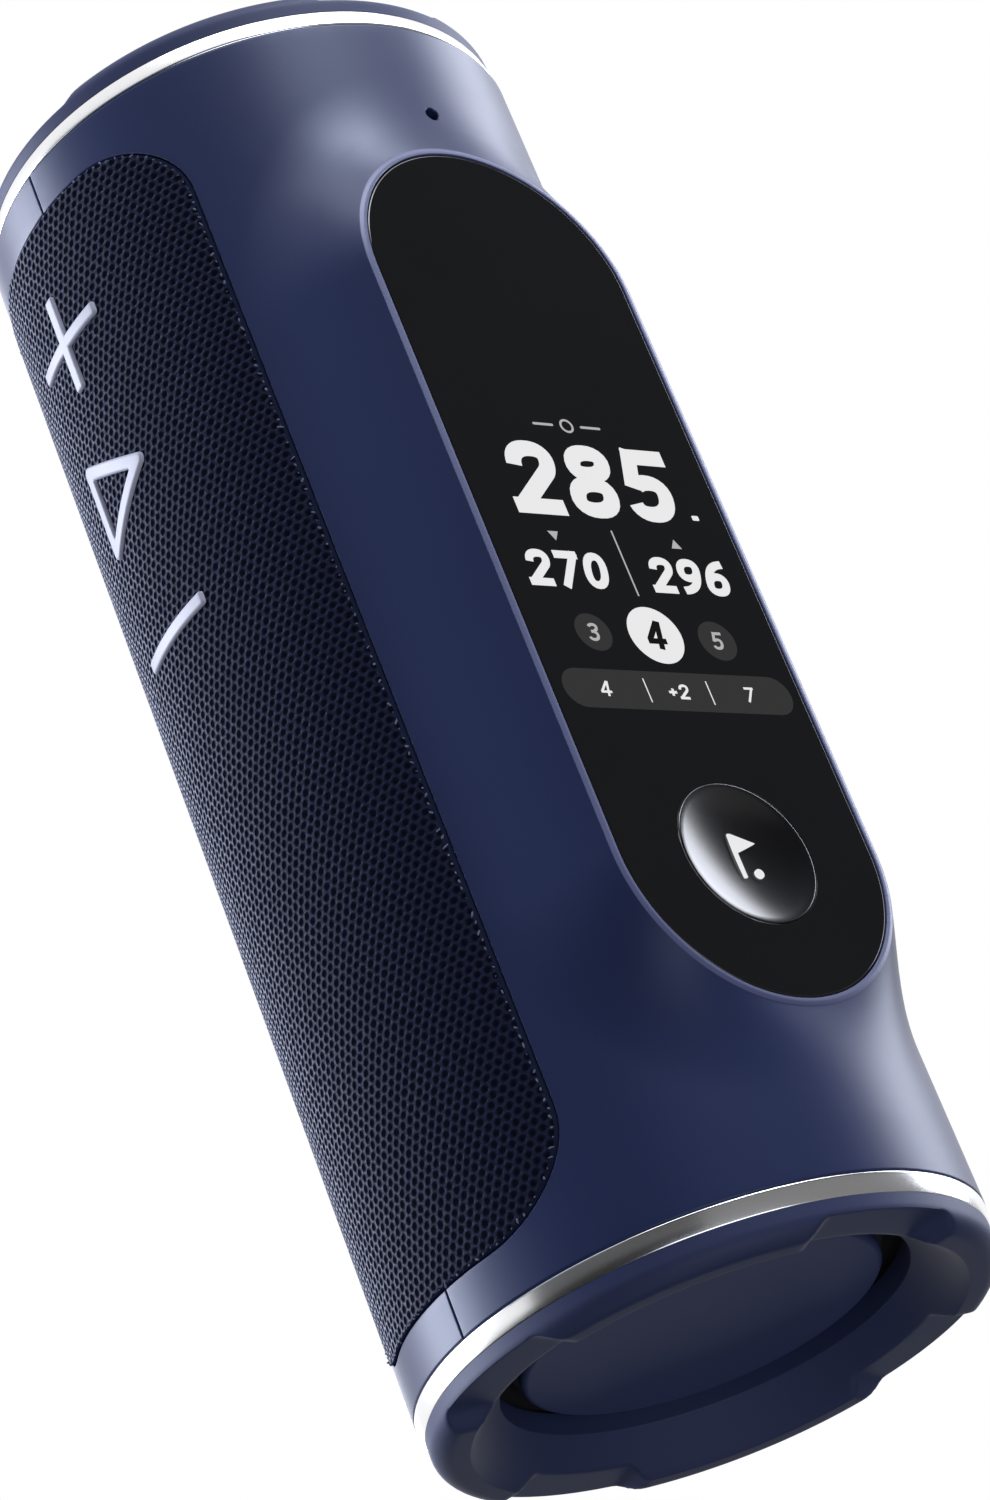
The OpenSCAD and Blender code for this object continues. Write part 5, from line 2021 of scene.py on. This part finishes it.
@dataclass
class Stencil:
    """Gathers flat signs as thin closed plates on the display glass."""

    name: str
    front: float = 40.23
    back: float = 40.1
    foot: float = BODY.middle
    parts: list[Mesh] = field(default_factory=list)

    def plate(self, outline: Sequence[Pair]) -> None:
        """Adds a plate with that outline, in millimetres from the display's middle.

        Args:
            outline: the corners, in order.
        """
        flat = np.array(outline) + (0.0, self.foot)
        count = len(flat)
        points = np.concatenate([facing_front(flat, self.front), facing_front(flat, self.back)]) * MM
        walls = [(k, (k + 1) % count, count + (k + 1) % count, count + k) for k in range(count)]
        faces = [tuple(range(count))[::-1], tuple(range(count, 2 * count)), *walls]
        mesh = bpy.data.meshes.new("plate")
        mesh.from_pydata(points.tolist(), [], faces)
        self.parts.append(mesh)

    def bar(self, low: Pair, high: Pair, corner: float = 0.3) -> None:
        """Adds a bar with rounded corners between two corners.

        Args:
            low: its lower left corner.
            high: its upper right corner.
            corner: radius of its corners.
        """
        centre = ((low[0] + high[0]) / 2, (low[1] + high[1]) / 2)
        half = ((high[0] - low[0]) / 2, (high[1] - low[1]) / 2)
        corner = min(corner, half[0] - 0.01, half[1] - 0.01)
        self.plate((rounded_rectangle(half[0], half[1], corner, (1, 1, 5)) + centre).tolist())

    def disc(self, centre: Pair, radius: float) -> None:
        """Adds a disc."""
        self.plate((circle(radius, 48) + centre).tolist())

    def stroke(self, line: np.ndarray, thickness: float, closed: bool = False) -> None:
        """Adds a flat stroke along a line.

        Args:
            line: the line's points, n by 2.
            thickness: the stroke's width.
            closed: whether its last point meets its first.
        """
        ahead, behind = np.roll(line, -1, axis=0) - line, line - np.roll(line, 1, axis=0)
        if not closed:
            ahead[-1], behind[0] = behind[-1], ahead[0]
        ahead /= np.linalg.norm(ahead, axis=1)[:, None]
        behind /= np.linalg.norm(behind, axis=1)[:, None]
        side = np.stack([-(ahead + behind)[:, 1], (ahead + behind)[:, 0]], axis=1)
        side /= np.linalg.norm(side, axis=1)[:, None]
        bend = np.maximum(np.sum(side * np.stack([-ahead[:, 1], ahead[:, 0]], axis=1), axis=1), 0.5)
        offset = side * (thickness / 2 / bend)[:, None]
        left, right = line + offset + (0.0, self.foot), line - offset + (0.0, self.foot)
        corners = ((left, self.front), (right, self.front), (right, self.back), (left, self.back))
        rows = [facing_front(points, depth) for points, depth in corners]
        count = len(line)
        faces = []
        for k in range(count if closed else count - 1):
            n = (k + 1) % count
            for a, b in ((r * count, (r + 1) % 4 * count) for r in range(4)):
                faces.append((a + k, a + n, b + n, b + k))
        if not closed:
            faces += [tuple(r * count for r in range(4)), tuple(r * count + count - 1 for r in range(4))]
        mesh = bpy.data.meshes.new("stroke")
        mesh.from_pydata((np.concatenate(rows) * MM).tolist(), [], faces)
        self.parts.append(mesh)

    def number(self, digits: str, centre: Pair, height: float, weight: float = 0.21, stretch: float = 1.2,
               lean: float = 0.2) -> None:
        """Adds plain digits.

        Args:
            digits: the digits.
            centre: their middle.
            height: their height.
            weight: the width of their strokes, as a share of their height.
            stretch: how much wider than plain they are.
            lean: how far they lean to the right per unit of height.
        """
        advance = 0.68
        start = -advance * len(digits) / 2 + 0.04
        for place, digit in enumerate(digits):
            for line, closed in digit_lines(digit, weight):
                flat = (line + (start + place * advance, -0.5)) * (height * stretch, height)
                flat[:, 0] += flat[:, 1] * lean
                self.stroke(flat + centre, weight * height, closed)

    def make(self, material: Material) -> Piece:
        """Joins the signs into one piece on the casing.

        Args:
            material: what the signs wear.
        Returns:
            The piece.
        """
        work = bmesh.new()
        for mesh in self.parts:
            work.from_mesh(mesh)
            bpy.data.meshes.remove(mesh)
        self.parts.clear()
        joined = bpy.data.meshes.new(self.name)
        finish_mesh(work, joined, 2e-6)
        return settle(dress(joined, self.name, material, 30.0), CASING_BODY, Slot.PANEL)


@dataclass
class Display:
    """The display glass and what is lit behind it."""

    centre: float = BODY.display_centre
    half_straight: float = BODY.display_half
    radius: float = 21.95
    front: float = BODY.glass_front
    back: float = 38.7
    edge: float = 0.3
    hole: float = 10.9
    hole_edge: float = 0.12
    steps: Pair = (4.0, 6.0)

    def pill(self, distance: float) -> Loop:
        """The glass outline at a distance from the line between its two centres."""
        return pill(distance, self.centre, self.half_straight, 59)

    def opening(self, radius: float) -> Loop:
        """The button's hole."""
        return circle(radius, 96) + (0.0, self.centre - self.half_straight)

    def glass(self) -> Piece:
        """The glass pill with its soft edge and the button's hole.

        Returns:
            The glass.
        """
        skin = Skin("display_glass_pill")
        rings = [facing_front(self.pill(self.radius - inset), self.front - drop)
                 for inset, drop in rounding(self.edge)]
        skin.bands([*rings, facing_front(self.pill(self.radius), self.back)])
        holes = [facing_front(self.opening(self.hole + inset), self.front - drop)
                 for inset, drop in rounding(self.hole_edge, 3)]
        skin.bands([*holes, facing_front(self.opening(self.hole), self.back)])
        upper = [self.pill(self.radius - self.edge), self.opening(self.hole + self.hole_edge)]
        skin.fill(upper, self.steps[0], lambda flat: facing_front(flat, self.front))
        lower = [self.pill(self.radius), self.opening(self.hole)]
        skin.fill(lower, self.steps[1], lambda flat: facing_front(flat, self.back))
        return skin.placed(Slot.GLASS, CASING_BODY, "display_glass", 30.0)

    def signs(self) -> list[Piece]:
        """The lit distances, hole numbers and small signs, brightest last.

        Returns:
            The signs, dimmest first.
        """
        dim = Stencil("display_grounds", front=40.215)
        dim.bar((-20.0, -24.6), (20.0, -18.4), 3.09)
        dim.disc((-10.8, -12.4), 3.0)
        dim.disc((10.8, -12.8), 3.2)
        grey = Stencil("display_grey_signs")
        grey.number("3", (-10.8, -12.4), 2.9, 0.16, 1.1)
        grey.number("5", (10.8, -12.8), 2.9, 0.16, 1.1)
        grey.stroke(circle(1.0, 32) + (0.0, 22.4), 0.34, True)
        for side in (-1.0, 1.0):
            grey.bar((side * 4.2 - 1.8, 22.2), (side * 4.2 + 1.8, 22.6), 0.18)
        grey.plate([(-11.5, 4.0), (-10.6, 2.5), (-9.7, 4.0)])
        grey.plate([(9.8, 2.5), (10.7, 4.0), (11.6, 2.5)])
        grey.bar((-0.12, -6.0), (0.12, 4.8), 0.1)
        white = Stencil("display_white_signs", front=40.235)
        white.number("285", (0.2, 13.0), 12.4)
        white.number("270", (-10.7, -2.2), 6.0)
        white.number("296", (10.8, -2.2), 6.0)
        white.disc((0.0, -12.4), 4.6)
        white.bar((16.0, 7.6), (17.2, 8.4), 0.2)
        white.number("4", (-12.8, -21.5), 2.4, 0.15)
        white.number("+2", (-0.2, -21.5), 2.4, 0.17)
        white.number("7", (12.4, -21.5), 2.4, 0.15)
        for across in (-5.6, 5.4):
            white.bar((across - 0.09, -23.4), (across + 0.09, -19.6), 0.05)
        dark = Stencil("display_dark_signs", front=40.25)
        dark.number("4", (0.0, -12.4), 4.6, 0.2, 1.1)
        signs = ((dim, LIT_DIM), (grey, LIT_GREY), (white, LIT_WHITE), (dark, LIT_DARK))
        return [stencil.make(worn(finish)) for stencil, finish in signs]

    def dress(self) -> list[Piece]:
        """Makes the glass and its signs."""
        return [self.glass(), *self.signs()]


@dataclass
class MainButton:
    """The dished round button under the display."""

    height: float = BODY.display_centre - BODY.display_half
    radius: float = 10.8
    front: float = BODY.glass_front
    lip: float = 0.12
    dish: float = 1.2
    dish_steps: int = 16
    edge: float = 0.14
    flange: float = 12.2
    flange_front: float = 38.6
    flange_back: float = 37.4
    plunger: float = 1.2
    plunger_back: float = 36.45

    def body(self) -> Piece:
        """The button's dish, lip, wall and flange.

        Returns:
            The button.
        """
        inner = self.radius - self.edge - self.lip
        shares = [k / self.dish_steps for k in range(self.dish_steps + 1)]
        profile = [(inner * share, self.front - self.dish * (1 - share**2)) for share in shares]
        profile += [(self.radius - inset, self.front - drop) for inset, drop in rounding(self.edge)]
        profile += [(self.radius, self.flange_front), (self.flange, self.flange_front),
                    (self.flange, self.flange_back)]
        profile += [(self.plunger, self.flange_back), (self.plunger, self.plunger_back),
                    (0.0, self.plunger_back)]
        skin = Skin("main_button_dish")
        skin.bands([facing_front(circle(radius, 128) + (0.0, self.height), depth)
                    for radius, depth in profile])
        return skin.placed(Slot.BUTTON, "main_button", "main_button", 40.0)

    def sign(self) -> Piece:
        """A small plain flag on a stick, printed in the dish in the display's glowing white, so that it gives
        off light of its own as a painted glow.

        Returns:
            The sign.
        """
        depth = self.front - self.dish
        mark = Stencil("main_button_sign", front=depth + 0.42, back=depth - 0.05, foot=self.height)
        mark.stroke(np.array([(-1.2, -3.3), (-1.2, 3.4)]), 0.48)
        mark.plate([(-1.0, 0.5), (2.7, 1.95), (-1.0, 3.4)])
        mark.disc((1.4, -2.7), 0.7)
        # The print wears the glowing sign white: a painted glow.
        return settle(mark.make(worn(LIT_WHITE)), "main_button", Slot.BUTTON)

    def dress(self) -> list[Piece]:
        """Makes the button and its sign."""
        return [self.body(), self.sign()]


@dataclass
class PortFlap:
    """The rubber flap over the charging port, curved as the casing is."""

    port: float = BODY.port
    gap: float = 0.25
    top: float = 40.0
    under: float = 38.7
    edge: float = 0.3
    plug: Triple = (4.4, 1.7, 1.0)
    plug_end: float = 37.5

    def outlines(self, inset: float, radius: float) -> list[Loop]:
        """The flap's only flat outline on a cylinder, as a list."""
        sizes = (size - self.gap - inset for size in BODY.recess)
        return [wrapped(rounded_rectangle(*sizes, (10, 5, 6)), radius, self.port)]

    def dress(self) -> Piece:
        """Makes the flap with its plug.

        Returns:
            The flap.
        """
        skin = Skin("port_flap_cover")
        skin.plate(rounded_levels(self.outlines, self.top, self.under, self.edge), (1.0, 2.0), 180.0)
        shape = rounded_rectangle(*self.plug, (4, 2, 4)) * (-1.0, 1.0) + (0.0, self.port)
        ring = np.stack([shape[:, 0], np.zeros(len(shape)), shape[:, 1]], axis=1)
        middle = np.broadcast_to((0.0, 0.0, self.port), ring.shape)
        start, end = np.array((0.0, self.under + OVERLAP, 0.0)), np.array((0.0, self.plug_end, 0.0))
        skin.bands([middle + start, ring + start, ring + end, middle + end])
        return skin.placed(Slot.FLAP, "port_flap", "port_flap", 40.0)


@dataclass
class Interior:
    """The construction model's own pieces, seen when the speaker is opened."""

    nodes: dict[str, Piece]
    record: dict[str, object]

    def dress(self) -> int:
        """Gives every node the finish of its slot, and counts them.

        Returns:
            How many there are.
        """
        slots = {part["node"]: Slot(part["material_slot"]) for part in self.record["subparts"]}
        for name, node in self.nodes.items():
            node.data.materials.clear()
            node.data.materials.append(worn(INSIDE_CLOTH
                                                   if slots[name] is Slot.CLOTH else slots[name]))
        return len(self.nodes)


# ---------------------------------------------------------------------------------- the studio


@dataclass(frozen=True)
class Softbox:
    """An area lamp aimed at the speaker's middle."""

    name: str
    place: Triple
    size: Pair
    radiance: float


@dataclass(frozen=True)
class Card:
    """A dark card that only reflections show, round the speaker at a direction."""

    name: str
    azimuth: Pair
    elevation: Pair
    shade: float
    tint: Colour = (1.0, 1.0, 1.0)


@dataclass
class Studio:
    """A pale floor, a white surround, soft lamps, dark cards and the camera."""

    middle: float = BODY.middle * MM
    fill: float = 0.18
    floor_size: float = 1.6
    floor_drop: float = 0.0004
    card_distance: float = 1.4
    lamp_colour: Colour = (0.86, 0.895, 1.0)
    lens: float = 113.97
    eye: Triple = (-0.412904, -0.422228, -0.199148)
    target: Triple = (0.00336, -0.00051, 0.0971)
    roll: float = -21.906
    lamps: tuple[Softbox, ...] = (
        Softbox("right softbox", (0.93, -0.25, 0.50), (0.50, 0.85), 6.9),
        Softbox("front top softbox", (0.06, -0.68, 0.95), (0.48, 0.32), 16.5),
        Softbox("top right softbox", (0.45, -0.54, 0.95), (0.45, 0.32), 6.0),
        Softbox("overhead softbox", (-0.24, -0.38, 1.12), (0.45, 0.42), 3.6),
        Softbox("rear right softbox", (0.55, 0.80, 0.50), (0.6, 0.7), 2.5),
        Softbox("rear left softbox", (-0.60, 0.80, 0.45), (0.5, 0.8), 15.0),
        Softbox("low fill", (-0.30, -0.75, -0.55), (0.8, 0.6), 2.2),
    )
    cards: tuple[Card, ...] = (
        Card("front_card", (-60.0, 56.0), (11.0, 46.0), 0.006),
        Card("front_left_card", (-128.0, -60.0), (11.0, 46.0), 0.27, (0.6, 0.75, 1.0)),
        Card("left_low_card", (-128.0, -31.0), (-70.0, -8.0), 0.02),
        Card("left_strip_card", (-100.0, -31.0), (-8.0, 11.0), 0.10),
        Card("horizon_card", (-31.0, 62.0), (-70.0, 11.0), 0.22),
        Card("right_strip_card", (62.0, 110.0), (-20.0, 8.0), 0.5),
        Card("under_card", (62.0, 232.0), (-80.0, -20.0), 0.06),
    )

    def world(self) -> None:
        """A surround that is white where it is seen and dimmer as a lamp."""
        world = bpy.data.worlds.new("studio")
        bpy.context.scene.world = world
        net = bare_net(world)
        rays = net.add("ShaderNodeLightPath").outputs
        seen = net.math("MAXIMUM", rays["Is Glossy Ray"], rays["Is Transmission Ray"])
        shown = net.math("MULTIPLY", net.math("MAXIMUM", rays["Is Camera Ray"], seen), 1.0 - self.fill)
        light = {"Color": (1.0, 1.0, 1.0, 1.0), "Strength": net.math("ADD", self.fill, shown)}
        net.add("ShaderNodeOutputWorld", {"Surface": net.add("ShaderNodeBackground", light).outputs[0]})

    def floor(self) -> Piece:
        """A pale floor that shows from above and lets everything through from below.

        Returns:
            The floor.
        """
        half = self.floor_size / 2
        mesh = bpy.data.meshes.new("studio_floor")
        corners = ((-half, -half), (half, -half), (half, half), (-half, half))
        mesh.from_pydata([(*corner, -self.floor_drop) for corner in corners], [], [(0, 1, 2, 3)])
        material = bpy.data.materials.new("pale studio floor")
        net = bare_net(material)
        above = net.math("SUBTRACT", 1.0, net.add("ShaderNodeNewGeometry").outputs["Backfacing"])
        shown = net.math("MULTIPLY", net.add("ShaderNodeLightPath").outputs["Is Camera Ray"], above)
        clear = net.add("ShaderNodeBsdfTransparent")
        pale = net.add("ShaderNodeBsdfDiffuse", {"Color": (0.93, 0.93, 0.93, 1.0)})
        join = net.add("ShaderNodeMixShader", {0: shown, 1: clear.outputs[0], 2: pale.outputs[0]})
        net.add("ShaderNodeOutputMaterial", {"Surface": join.outputs[0]})
        floor = dress(mesh, "studio_floor", material, 30.0)
        floor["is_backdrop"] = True
        return floor

    def card(self, card: Card) -> Piece:
        """A curved dark card seen by reflections alone.

        Args:
            card: the card's place and shade.
        Returns:
            The piece.
        """
        azimuths = np.linspace(*card.azimuth, 25)
        elevations = np.radians(np.linspace(*card.elevation, 13))
        far = self.card_distance
        rows = [around(azimuths, far * math.cos(e), far * math.sin(e) + self.middle) for e in elevations]
        skin = Skin(card.name)
        skin.bands(rows, closed=False)
        mesh = bpy.data.meshes.new(card.name)
        mesh.from_pydata(np.concatenate(skin.points).tolist(), [], skin.faces)
        material = bpy.data.materials.new(card.name)
        net = bare_net(material)
        shade = net.add("ShaderNodeEmission", {"Color": colour4(card.tint), "Strength": card.shade})
        net.add("ShaderNodeOutputMaterial", {"Surface": shade.outputs[0]})
        piece = dress(mesh, card.name, material, 180.0)
        for ray in ("camera", "diffuse", "shadow", "transmission"):
            setattr(piece, f"visible_{ray}", False)
        piece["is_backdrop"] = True
        return piece

    def lamp(self, box: Softbox) -> None:
        """An area lamp whose face has the softbox's radiance.

        Args:
            box: the softbox.
        """
        light = bpy.data.lights.new(box.name, "AREA")
        light.shape = "RECTANGLE"
        light.size, light.size_y = box.size
        light.color = self.lamp_colour
        light.energy = box.radiance * math.pi * box.size[0] * box.size[1]
        lamp = bpy.data.objects.new(box.name, light)
        lamp.location = box.place
        aim = Vector((0.0, 0.0, self.middle)) - lamp.location
        lamp.rotation_euler = aim.to_track_quat("-Z", "Y").to_euler()
        lamp.visible_camera = False
        bpy.context.scene.collection.objects.link(lamp)

    def camera(self) -> None:
        """The camera, below and to the left of the display, turned a little on its axis."""
        lens = bpy.data.cameras.new("view")
        lens.lens = self.lens
        lens.sensor_width = 36.0
        lens.clip_start, lens.clip_end = 0.01, 20.0
        camera = bpy.data.objects.new("view", lens)
        aim = (Vector(self.target) - Vector(self.eye)).to_track_quat("-Z", "Y").to_matrix().to_4x4()
        turn = Matrix.Rotation(math.radians(self.roll), 4, "Z")
        camera.matrix_world = Matrix.Translation(self.eye) @ aim @ turn
        bpy.context.scene.collection.objects.link(camera)
        bpy.context.scene.camera = camera

    def build(self) -> None:
        """Sets up the stage, the light and the camera."""
        bpy.context.scene.view_settings.view_transform = "Standard"
        self.world()
        self.floor()
        for card in self.cards:
            self.card(card)
        for box in self.lamps:
            self.lamp(box)
        self.camera()


# ------------------------------------------------------------------------------------ assembly


def plain(bounds: object) -> list:
    """Bounds as plain lists of numbers."""
    return [[float(value) for value in corner] for corner in bounds]


def main() -> None:
    """Builds and reports every piece."""
    logging.basicConfig(level=logging.INFO, format="%(message)s")
    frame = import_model()
    before = plain(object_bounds())
    LOG.info("inside pieces: %d", Interior(frame["nodes"], frame["record"]).dress())
    classes = [
        FrontHalf("front_casing", "front_shell", 0.0, BODY.side_azimuth),
        RearHalf("rear_casing", "rear_shell", 180.0, 180.0 - BODY.side_azimuth),
        SideCloth("left_side_cloth", "left_cloth", "left_grille", -1),
        SideCloth("right_side_cloth", "right_cloth", "right_grille", 1),
        Key(Sign.PLUS, 168.6), Key(Sign.PLAY, 143.7), Key(Sign.MINUS, 118.8),
        Display(), MainButton(), PortFlap(), EndAssembly(End.BOTTOM), EndAssembly(End.TOP),
    ]
    for assembly in classes:
        made = assembly.dress()
        for piece in made if isinstance(made, list) else [made]:
            LOG.info("%s: %d faces", piece.name, len(piece.data.polygons))
    Studio().build()
    plain(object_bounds())


if __name__ == "__main__":
    main()
